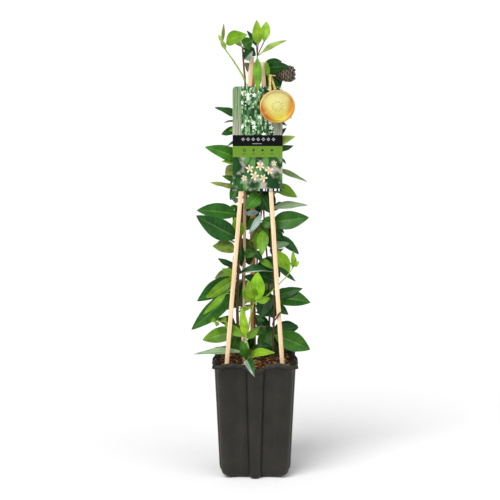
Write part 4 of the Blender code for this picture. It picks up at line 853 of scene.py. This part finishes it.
# Leaves seen from the front: base and tip as across, up and depth, then width, how far the face is
# turned up from facing the front (degrees), and how far the middle is arched (all in millimetres)
LEAVES = {
    "vine_left": [
        ((-20, 658, -4), (-3, 668, 2), 20, 15, 3), ((-14, 658, -3), (1, 643, -6), 14, 20, 3),
        ((-19, 636, -4), (-4, 650, 4), 16, 10, 3), ((-21, 633, -2), (-11, 618, 8), 12, 20, 2),
        ((-21, 655, -3), (-30, 663, 8), 8.5, 40, 2), ((-22, 549, 3), (-61, 565, -4), 16, 60, 1),
        ((-23, 540, 3), (-47, 542, 18), 12, 80, 2), ((-24, 533, 3), (-51, 524, 2), 14, 30, 2),
        ((-23, 533, 3), (-39, 530, -8), 10, 20, 1), ((-25, 484, 3), (-76, 505, -14), 22, 25, 8),
        ((-26, 478, 1), (-51, 483, -24), 10, 15, 1), ((-25, 478, 2), (-45, 461, -8), 22, 10, 3),
        ((-26, 452, 1), (-50, 461, 6), 9, 40, 1), ((-27, 441, 0), (-68, 451, 8), 12, 60, 0),
        ((-29, 449, -1), (-38, 424, 4), 17, 15, 2), ((-28, 402, -6), (-89, 408, -10), 26, 32, 3),
        ((-28, 366, -12), (-90, 400, -24), 32, 4, 5), ((-31, 366, -12), (-31, 398, -28), 20, 10, 2),
        ((-29, 346, -12), (-65, 353, 2), 22, 40, 3), ((-29, 320, -14), (-57, 334, -2), 11, 40, -2),
        ((-29, 307, -16), (-51, 318, -24), 12, 10, 2), ((-29, 312, -16), (-62, 303, 6), 15, 30, 3),
        ((-29, 307, -8), (-89, 267, -12), 26, 22, 6), ((-24, 286, -17), (-98, 222, -8), 27, 5, 6),
        ((-45, 279, -29), (-80, 246, -36), 10, 0, 1), ((-27, 221, -12), (-81, 206, -8), 24, 22, 5),
        ((-25, 214, -12), (-38, 188, 4), 20, 5, 3), ((-25, 362, -12), (-21, 320, -10), 11, 0, 2),
        ((-29, 350, -10), (-33, 322, -2), 12, 0, 2), ((-29, 306, -17), (-76, 272, -30), 20, 15, 5),
    ],
    "vine_right": [
        ((19, 609, -9), (16, 635, -4), 8, 0, 2), ((14, 630, 5), (38.5, 596, 2), 32, -5, 3),
        ((12.5, 626, 9), (50.5, 627, 4), 17, 10, 2), ((25, 513, 4), (47, 534, 10), 9, 20, 1),
        ((26, 507, 4), (61, 521, -2), 14, 32, 2), ((26, 496, 3), (58, 507, 14), 12, 50, 1),
        ((26, 474, 2), (79, 452, -6), 12, 66, 0), ((25, 446, 0), (64, 428, -10), 18, 30, 5),
        ((24, 411, -3), (80, 416, 10), 15, 56, 3), ((23, 391, -4), (82, 397, -12), 28, 8, 5),
        ((24, 384, -4), (42, 362, 16), 16, 10, 2), ((26, 371, -5), (67, 340, -10), 15, 28, 8),
        ((26, 360, -5), (52, 357, 14), 14, -30, 2), ((31, 346, -5), (52, 312, -8), 22, 10, 4),
        ((29, 272, -3), (73, 287, 8), 15, 20, 3), ((29, 270, -1), (85, 265, -12), 28, 8, 5),
        ((29, 264, 0), (51, 246, 6), 13, 20, 2), ((28, 221, 4), (67, 226, 14), 19, 34, 2),
        ((28, 218, 5), (85, 191, -4), 30, 20, 8), ((26, 196, 6), (-6, 190, 2), 15, 52, 3),
        ((27, 316, -5), (-28, 309, -14), 16, 60, 7), ((28, 322, -5), (38, 304, 4), 9, 20, 1),
        ((34, 321, -8), (62, 298, -4), 8, 20, 1), ((13, 629, 8), (40, 634, 10), 13, 20, 2),
    ],
    "vine_middle": [
        ((4.2, 660, -3.5), (2, 696, -2), 15.5, 0, 2), ((13.5, 664, -1), (17, 693.5, 2), 14.5, 0, 2),
        ((2, 657, 1), (-12.5, 680, 4), 9, 50, 2), ((10, 647, -3), (47, 665.5, -8), 9.5, 45, 3),
        ((3.2, 639, -9), (4, 588, -9), 13, 0, 1), ((4, 398, -8), (-17, 378, 0), 14, 10, 2),
        ((5, 436, -3), (-16, 410, -8), 21, 0, 3), ((7, 436, -2), (20, 410, 2), 15, 10, 2),
        ((7, 404, -8), (-10, 372, -20), 10, -20, 3), ((5, 405, -7), (-17, 403, -4), 9, 10, 1),
        ((12, 376, -10), (10, 338, -24), 18, 0, 3), ((0, 338, -2), (-17, 343, -10), 14, 10, 2),
        ((-9, 300, 6), (-17, 306, 0), 12, 20, 1), ((-7, 300, 8), (-31, 258, 12), 30, 8, 3),
        ((11, 392, -8), (34, 386, -4), 18, 8, 2), ((-6, 310, 4), (33, 297, 2), 17, 20, 3),
        ((3, 333, -2), (29, 317, -6), 10, 30, 2), ((-4, 262, 10), (27, 245, 2), 18, 10, 3),
        ((-3, 250, 10), (30, 249, 16), 9, 20, 1), ((-3, 246, 10), (14, 236, -10), 10, -20, 1),
        ((-1, 228, 11), (17, 227, -4), 11, -25, 1), ((-2, 212, 11), (4, 226, -8), 13, 10, 2),
        ((-2, 347, -2), (10, 330, 12), 12, 10, 2), ((-1, 245, 11), (22, 210, 16), 24, 8, 3),
        ((8, 436, 0), (22, 404, 14), 18, 6, 3), ((-1, 214, 11), (-14, 188, 14), 14, 5, 2),
    ],
    "front_shoot": [
        ((-18, 187, -24), (-94, 184, -24), 13, 60, 3), ((-13, 178, -31), (-21, 206, -40), 15, 0, 2),
        ((-11, 178, -31), (31, 186, -40), 15, 38, 9), ((-13, 175, -32), (-1, 148, -75), 14, 25, 8),
        ((-15.5, 210, -31), (-21, 258, -34), 13, 0, 3), ((-1, 268, -28), (4, 313, -34), 24, 0, 3),
        ((-3, 268, -28), (-20, 285, -34), 16, 5, 2), ((0, 266, -28), (23, 272, -36), 11, 10, 1),
        ((-5, 263, -28), (-26, 250, -36), 6, 20, 2), ((59, 321, -20), (58, 346, -22), 7, 10, 1),
        ((60, 320, -20), (67, 329, -26), 7, 10, 1), ((56, 316, -20), (62, 336, -12), 8, 20, 1),
        ((-60, 237, -20), (-68, 236, -24), 8, 20, 1), ((-57, 237, -20), (-64, 243, -18), 7, 10, 1),
        ((-55, 236, -20), (-60, 228, -24), 7, 20, 1), ((-44, 232, -18), (-52, 242, -12), 9, 20, 1),
        ((-2, 272, -28), (-11, 300, -36), 18, 0, 2), ((-18, 212, -28), (-48, 232, -22), 14, 25, 3),
        ((-13, 210, -30), (7, 227, -30), 12, 10, 2),
    ],
    "top_left_shoot": [
        ((-47, 662, -18), (-47, 690, -20), 5, 10, 1), ((-49, 663, -18), (-55, 674, -18), 6, 10, 1),
        ((-43, 660, -18), (-12, 674, -12), 22, 30, 7), ((-46, 648, -18), (-52, 668, -19), 7, 10, 1),
    ],
}

# Leaves round the back grow in opposite pairs: first and last height, pairs, and the compass
# direction in degrees (0 to the right, 90 to the back) that the pairs fan out from
BACK_PAIRS = {
    "vine_back_left": (205, 555, 8, 150),
    "vine_back_right": (215, 540, 7, 30),
    "vine_left": (225, 490, 5, 165),
    "vine_right": (262, 548, 5, 15),
}

# One letter for each leaf of a node, in the order of its table: how old it is, or u where its
# underside is seen, and s and c where a half or a border of it carries a painted pale sheen. The
# leaves at the back take the letters after those by turns.
GREENS = {
    "d": (0.009, 0.066, 0.007), "n": (0.021, 0.1, 0.009), "m": (0.036, 0.138, 0.01), "l": (0.1, 0.235, 0.014),
    "y": (0.16, 0.33, 0.013), "b": (0.27, 0.49, 0.025), "o": (0.13, 0.185, 0.03), "g": (0.14, 0.21, 0.08),
    "u": (0.22, 0.32, 0.18), "s": (0.012, 0.075, 0.012), "w": (0.24, 0.34, 0.32), "c": (0.012, 0.075, 0.016),
    "p": (0.26, 0.37, 0.08),
}
# Painted sheen: the pale colour laid on half of an s leaf and along one border of a c leaf
PAINTED_SHEEN = (0.3, 0.4, 0.33)
TONES = {
    "vine_left": "mdsuodgdymypmpnndyodyodnylmddydmddl",
    "vine_right": "ldddpdglundduydnddmdcdddddmd",
    "vine_middle": "bbdplmmdwwlmddmdldmmgmdddd",
    "front_shoot": "umysbyyyyyyyyyyyyll",
    "top_left_shoot": "opyp",
    "vine_back_left": "dmddlmddm",
    "vine_back_right": "ddmdmlddd",
}

# A dry twig of the right vine hooks over its cane; then what the stems are tinted with
TWIGS = {"vine_right": [((39.5, 249.5, -35), (36.5, 246.5, -36), (33, 241, -35.4), (29, 236, -30),
                         (27, 231, -14), (28.5, 226, 4), 1.4)]}
BARK = (0.105, 0.05, 0.021)
BROWN_STEM = (0.22, 0.085, 0.02)
GREEN_STEM = (0.16, 0.3, 0.05)
YOUNG_STEM = (0.3, 0.47, 0.07)


def half_width(t):
    """Half the breadth of a leaf blade, 1 at its widest, along its length from 0 to 1."""
    return min(1.0, 1.04 * math.sin(math.pi * t ** 0.92) ** 0.82 * (1.12 - 0.3 * t))


class Blade:
    """A leaf in place: where its stalk leaves the stem, where its blade begins and ends, its
    breadth, the way it faces and how far its middle is arched."""

    def __init__(self, root, base, tip, width, facing, arch, phase):
        self.root, self.base, self.width, self.arch, self.phase = root, base, width, arch, phase
        self.length = (tip - base).length
        self.along = (tip - base).normalized()
        self.up = (facing - self.along * facing.dot(self.along)).normalized()
        self.side = self.along.cross(self.up)

    def point(self, t, s):
        """A point of the middle surface: t from base to tip, s from edge -1 to edge 1."""
        if t == STALK_FOOT:
            return self.root + self.side * STALK_HALF * s
        breadth = max(half_width(t) * self.width / 2, STALK_HALF) if t < 1 else 0.0
        lift = self.arch * math.sin(math.pi * t) * (1.15 - 0.3 * t)
        lift += FOLD * (breadth - STALK_HALF) * abs(s) * 2
        lift += EDGE_WAVE * math.sin(9 * t + self.phase + 1.3 * s) * s * s * min(1.0, breadth / (6 * MM)) ** 2
        return self.base + self.along * self.length * t + self.side * breadth * s + self.up * lift

    def rough_shape(self, thick):
        """The closed leaf in few faces, to try where it has room."""
        stations = BLADE_STATIONS if self.length > SHORT_BLADE else SHORT_STATIONS
        bm = bmesh.new()
        grid = gridded(bm, 2, len(stations) - 1)
        for vert, column, row in grid:
            t, s = stations[row], column - 1
            if t <= 0:
                s = s or 1  # the stalk has no rib, only its two edges
            vert.co = self.point(t, s) + self.up * thick / 2
        merged(bm, grid)
        bmesh.ops.triangulate(bm, faces=bm.faces)
        self.thicken(bm, bm.faces[:], thick)
        bmesh.ops.triangulate(bm, faces=bm.faces)
        return bm

    def thicken(self, bm, faces, thick):
        """Closes the blade's upper faces with an underside, and gives out its points."""
        under = bmesh.ops.extrude_face_region(bm, geom=faces)["geom"]
        lower = [part for part in under if isinstance(part, bmesh.types.BMVert)]
        bmesh.ops.translate(bm, vec=-self.up * thick, verts=lower)
        return lower


# What a new leaf must not cross: the plain pieces, the stems and the leaves grown so far
grown = []


def stands(owner, bm):
    grown.append((owner, BVHTree.FromBMesh(bm)))
    bm.free()


def stands_mesh(owner, mesh):
    bm = bmesh.new()
    bm.from_mesh(mesh)
    stands(owner, bm)


def crossings(node, bm):
    """How many foreign shapes and how many of the node's own leaves it would cross."""
    tree = BVHTree.FromBMesh(bm)
    bm.free()
    met = [owner for owner, other in grown if owner != node + "_stem" and tree.overlap(other)]
    return len(met) - met.count(node), met.count(node)


# How far a leaf's tip may move back (mm) and its face turn up (degrees) to come clear, and how much
# of the move its base follows
SHIFTS = (0, -4, 4, -8, 8, -13, 13, -19, 19, -26, 26)
TILTS = (0, 14, -14, 30, -30)
BASE_FOLLOWS = 0.35


def bent_clear(node, lines, row):
    """The leaf as listed or, where it would cross something, moved along its sight line and tilted."""
    base, tip, width, face, arch = row
    best = None
    for shift, tilt in itertools.product(SHIFTS, TILTS):
        start = spot(base[0], base[1], base[2] + shift * BASE_FOLLOWS)
        end = spot(tip[0], tip[1], tip[2] + shift)
        turn_up = math.radians(face + tilt)
        root = min(lines, key=lambda p: (p - start).length)
        way = (end - start).normalized()
        if (start - root).dot(way) < SHORTEST_STALK:
            start = root + way * SHORTEST_STALK
        blade = Blade(root, start, end, width * MM, Vector((0, -math.cos(turn_up), math.sin(turn_up))),
                      arch * MM, base[0] * 0.7 + tip[1])
        score = crossings(node, blade.rough_shape(BLADE_THICK + 2 * CLEARANCE))
        if best is None or score < best[0]:
            best = (score, blade)
        if score == (0, 0):
            break
    return best


# Leaves up to this length and from this width on lean by so much (mm)
FAN_BELOW = 52.0
FAN_WIDTH = 11.0
FAN = 15.0


def fanned(row, number):
    """Short leaves lean by turns towards the front and the back, as they do round a stem."""
    base, tip, width, face, arch = row
    if math.hypot(tip[0] - base[0], tip[1] - base[1]) > FAN_BELOW or width < FAN_WIDTH:
        return row
    return base, (tip[0], tip[1], tip[2] + (FAN if number % 2 else -FAN)), width, face, arch


# A leaf at the back: how far it turns to a side of its pair's heading, by turns (degrees), its
# length (mm), its breadth for its length, how far it rises, and how much is lost pointing sideways
PAIR_SPREADS = (30, 62)
BACK_LENGTHS = (50, 66)
BACK_BREADTHS = (0.4, 0.5)
BACK_RISES = (-0.35, 0.3)
SIDEWAYS = 0.32

# Above each pair of a back vine two leaves hang: how far above it, how far out to their side, where
# they begin and end as up and depth from the stem's place (mm), and the rest of their row
HANG_ABOVE = 18 * MM
HANG_OUT = (5, 20)
HANG_FROM = (-4, -6)
HANG_TO = (-48, -14)
HANG_REST = (26, 8, 3)


def back_row(lines, height, compass, length, width, drop):
    """A leaf of a pair, as a row like those of the front leaves, pointing to the compass direction."""
    foot = min(lines, key=lambda p: abs(p.z - height))
    way = Vector((math.cos(compass), math.sin(compass), drop)).normalized()
    base = foot + way * 6 * MM
    rows = []
    for place in (base, base + way * length):
        near = 1 + place.y / SIGHT_DISTANCE
        up = (place.z - SIGHT_HEIGHT) / near + SIGHT_HEIGHT
        rows.append((place.x / near / MM, up / MM, place.y / MM))
    return rows[0], rows[1], width / MM, 70, 5


def back_rows(node, lines):
    low, high, pairs, heading = BACK_PAIRS[node]
    luck = random.Random(node)
    rows = []
    for pair in range(pairs):
        height = (low + (high - low) * pair / (pairs - 1)) * MM
        taper = 1.0 - 0.3 * pair / pairs
        sides = (-1, 1) if "back" in node else ((-1,) if "left" in node else (1,))
        for side in sides:
            compass = math.radians(heading + side * PAIR_SPREADS[pair % 2] + luck.uniform(-12, 12))
            length = luck.uniform(*BACK_LENGTHS) * taper * (1.0 - SIDEWAYS * abs(math.cos(compass))) * MM
            width = length * luck.uniform(*BACK_BREADTHS)
            rows.append(back_row(lines, height, compass, length, width, luck.uniform(*BACK_RISES)))
        if "back" in node:
            foot = min(lines, key=lambda p: abs(p.z - height - HANG_ABOVE))
            for side in (-1, 1):
                out = side * luck.uniform(*HANG_OUT)
                start, end = [(foot.x / MM + out * share, foot.z / MM + up, foot.y / MM + depth)
                              for share, (up, depth) in ((0.2, HANG_FROM), (1.0, HANG_TO))]
                rows.append((start, end, *HANG_REST))
    return rows


for name in ("pot", "cane_tie", "label_card", "card_ring", "gold_disc", "disc_strap", "cone_ornament",
             "cane_front_left", "cane_front_right", "cane_back", "starter_cane"):
    stands_mesh(name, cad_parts[name].data)
stem_lines = {}
for node, routes in STEMS.items():
    stem_lines[node] = []
    for route in routes:
        knots = [spot(*knot) for knot in route[:-1]]
        line = through(knots, STEM_STEP)
        curve = bpy.data.curves.new("guide", "CURVE")
        curve.dimensions, curve.bevel_depth, curve.bevel_resolution = "3D", route[-1] * MM, 0
        curve.use_fill_caps = True
        spline = curve.splines.new("POLY")
        spline.points.add(len(line) - 1)
        for number, point in enumerate(line):
            spline.points[number].co = (*point, 1.0)
            spline.points[number].radius = 1.0 - STEM_TAPER * number / (len(line) - 1)
        guide = bpy.data.objects.new("guide", curve)
        bpy.context.scene.collection.objects.link(guide)
        bpy.context.view_layer.update()
        stands_mesh(node + "_stem", guide.to_mesh())
        bpy.data.objects.remove(guide, do_unlink=True)
        stem_lines[node] += through(knots, 4 * MM)
stands_mesh("soil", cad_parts["soil"].data)

leaf = Finish("leaf", rough=0.36, Specular_IOR_Level=0.17)
tint = leaf.painted("tint")
under = leaf.painted("tint", "Alpha")
across, along, age = leaf.painted("place", "Vector").parts()
edge = abs(across)
rib = 1 - edge.rise(0.03, 0.11)
fork = abs((along * 9.0 - edge * 0.9 + age * 3.0) % 1.0 - 0.5)
veins = (1 - fork.rise(0.02, 0.09)) * (1 - edge.rise(0.75, 0.95))
patches = leaf.mottle(leaf.place(), 70.0, 3.0)
fine = leaf.mottle(leaf.place(), 900.0)
green = leaf.times(tint, leaf.mix(patches.rise(0.3, 0.7), (0.66, 0.71, 0.66), (1.36, 1.26, 1.2)))
green = leaf.mix(fine.rise(0.4, 0.7) * 0.25, green, leaf.times(green, (0.6, 0.68, 0.6)))
paler = leaf.mix(0.3, leaf.times(green, (1.9, 1.6, 1.7)), (0.3, 0.42, 0.16))
# The veins and midrib are paler in the leaf's own colour; the pale band along the edge is a painted highlight
green = leaf.coated(green, (veins * 0.14, paler), (rib * 0.5, paler), (edge.rise(0.93, 1.0) * 0.3, paler))
dull = leaf.coated(green, (0.5, (0.2, 0.33, 0.17)), (rib * 0.6, (0.42, 0.53, 0.3)))
leaf.shade(Base_Color=leaf.mix(under, green, dull), Roughness=under * 0.22 + patches * 0.14 + 0.27)
leaf.relief(rib * -0.8 + veins * -0.45 + fine * 0.2, 0.3 * MM, 0.5)

bark = Finish("stem_bark", rough=0.7, Specular_IOR_Level=0.3)
place = bark.place()
cracks = bark.mottle(bark.moved(place, stretch=(1, 1, 0.25)), 700.0, 4.0, 0.65)
lenticels = bark.mottle(place, 420.0, 1.0)
woody = bark.mix(cracks.rise(0.35, 0.7), (0.6, 0.6, 0.6), (1.5, 1.45, 1.4))
woody = bark.times(bark.painted("tint"), woody)
woody = bark.mix(lenticels.rise(0.66, 0.74) * 0.4, woody, (0.3, 0.22, 0.13))
bark.shade(Base_Color=woody, Roughness=cracks * 0.3 + 0.5)
bark.relief(cracks, 0.4 * MM, 0.6)

# The stems turn from bark to green from this height and over this stretch, and the stalks of the
# crown's leaves are bark again
RIPE_FROM = 0.42
RIPE_OVER = 0.22
CROWN_FROM = 0.634
CROWN_LEAVES = 3
PIECES = {"vine_left": "left_vine", "vine_right": "right_vine", "vine_middle": "middle_vine",
          "vine_back_left": "back_vine_left", "vine_back_right": "back_vine_right",
          "front_shoot": "young_shoot_front", "top_left_shoot": "young_shoot_top"}

for node, name in PIECES.items():
    luck = random.Random(node + " looks")
    bm = blank()
    tint_layer = bm.verts.layers.float_color["tint"]
    place_layer = bm.verts.layers.float_vector["place"]
    rows = list(LEAVES.get(node, []))
    listed = len(rows)
    if node in BACK_PAIRS:
        rows += back_rows(node, stem_lines[node])
    tones = TONES[node]
    for number, row in enumerate(rows):
        (crossed, _), blade = bent_clear(node, stem_lines[node], fanned(row, number))
        if crossed:
            continue
        stands(node, blade.rough_shape(BLADE_THICK))
        letter = tones[number] if number < listed else tones[listed + number % (len(tones) - listed)]
        shade = luck.uniform(0.82, 1.2)
        colour = [channel * shade * luck.uniform(0.95, 1.05) for channel in GREENS[letter]]
        grid = gridded(bm, len(FINE_ACROSS) - 1, len(FINE_STATIONS) - 1)
        for vert, column, row in grid:
            t, s = FINE_STATIONS[row], FINE_ACROSS[column]
            groove = GROOVE * math.exp(-(s / RIB_BREADTH) ** 2) * min(1.0, max(0.0, t) * 6) * (1 - t)
            vert.co = blade.point(t, s) + blade.up * (SKIN_THICK / 2 - groove)
            # Painted sheen: one half of an s leaf and one border of a c leaf take the pale sheen colour
            pale = (letter == "s" and s > 0) or (letter == "c" and s < -0.5)
            tinge = PAINTED_SHEEN if pale else colour
            if t <= 0 and node == "vine_middle" and number < CROWN_LEAVES:
                tinge = BARK
            vert[place_layer] = (s, t, shade)
            vert[tint_layer] = (*tinge, 1.0 if letter == "u" else 0.0)
        sheet = list({face for vert in merged(bm, grid) for face in vert.link_faces})
        lower = blade.thicken(bm, sheet, SKIN_THICK)
        for vert in lower:
            vert[tint_layer] = (*vert[tint_layer][:3], 1.0)
        shell = list({face for vert in lower for face in vert.link_faces} | set(sheet))
        faced_out(bm, shell)
        low = set(lower)
        for face in shell:
            if 0 < sum(vert in low for vert in face.verts) < len(face.verts):
                for rim_edge in face.edges:
                    rim_edge.smooth = False
    leaf_faces = set(bm.faces)
    young = "shoot" in node
    for route in STEMS[node] + TWIGS.get(node, []):
        line = through([spot(*knot) for knot in route[:-1]], FINE_STEM_STEP)
        last = len(line) - 1
        rows = []
        for number, point in enumerate(line):
            ahead = (line[min(number + 1, last)] - line[max(number - 1, 0)]).normalized()
            side = ahead.cross(Y).normalized()
            swelling = 1 + 0.12 * max(0.0, math.sin(number * 1.7)) ** 6
            radius = route[-1] * MM * (1 - STEM_TAPER * number / last) * swelling
            rows.append(ringed(point, side, side.cross(ahead), radius, STEM_SIDES))
        for vert in laid(bm, rows):
            ripe = 1.0 if young else min(1.0, max(0.0, (vert.co.z - RIPE_FROM) / RIPE_OVER))
            colour = Vector(BARK).lerp(Vector(YOUNG_STEM if young else GREEN_STEM), ripe)
            if node == "vine_left":
                colour = Vector(BARK).lerp(Vector(BROWN_STEM), ripe)
            elif node == "vine_middle" and vert.co.z > CROWN_FROM:
                colour = Vector(BARK)
            vert[tint_layer] = (*colour, 1.0)
    for face in bm.faces:
        face.smooth = True
        face.material_index = 0 if face in leaf_faces else 1
    shown(name, bm, node, leaf, bark)


# Floor, light and air: a plain sweep of pale studio paper that carries a soft shadow, lit by two
# broad soft lights from the front and above.
bm = bmesh.new()
bmesh.ops.create_grid(bm, x_segments=1, y_segments=1, size=40.0)
floor = placed("floor", bm)
paper = Finish("studio_paper", rough=0.9)
paper.shade(Base_Color=(0.93, 0.93, 0.93))
floor.data.materials.append(paper.material)

world = bpy.data.worlds.new("studio")
world.use_nodes = True
air = world.node_tree.nodes["Background"].inputs
air["Color"].default_value = (1.0, 1.0, 1.0, 1.0)
air["Strength"].default_value = 0.42
bpy.context.scene.world = world
for name, strength, spread, turn_to in (("key", 2.5, 40, (42, 0, -30)), ("fill", 0.8, 60, (55, 0, 45))):
    light = bpy.data.objects.new(name, bpy.data.lights.new(name, "SUN"))
    light.data.energy = strength
    light.data.angle = math.radians(spread)
    light.rotation_euler = [math.radians(value) for value in turn_to]
    bpy.context.scene.collection.objects.link(light)
bpy.context.scene.view_settings.view_transform = "Standard"
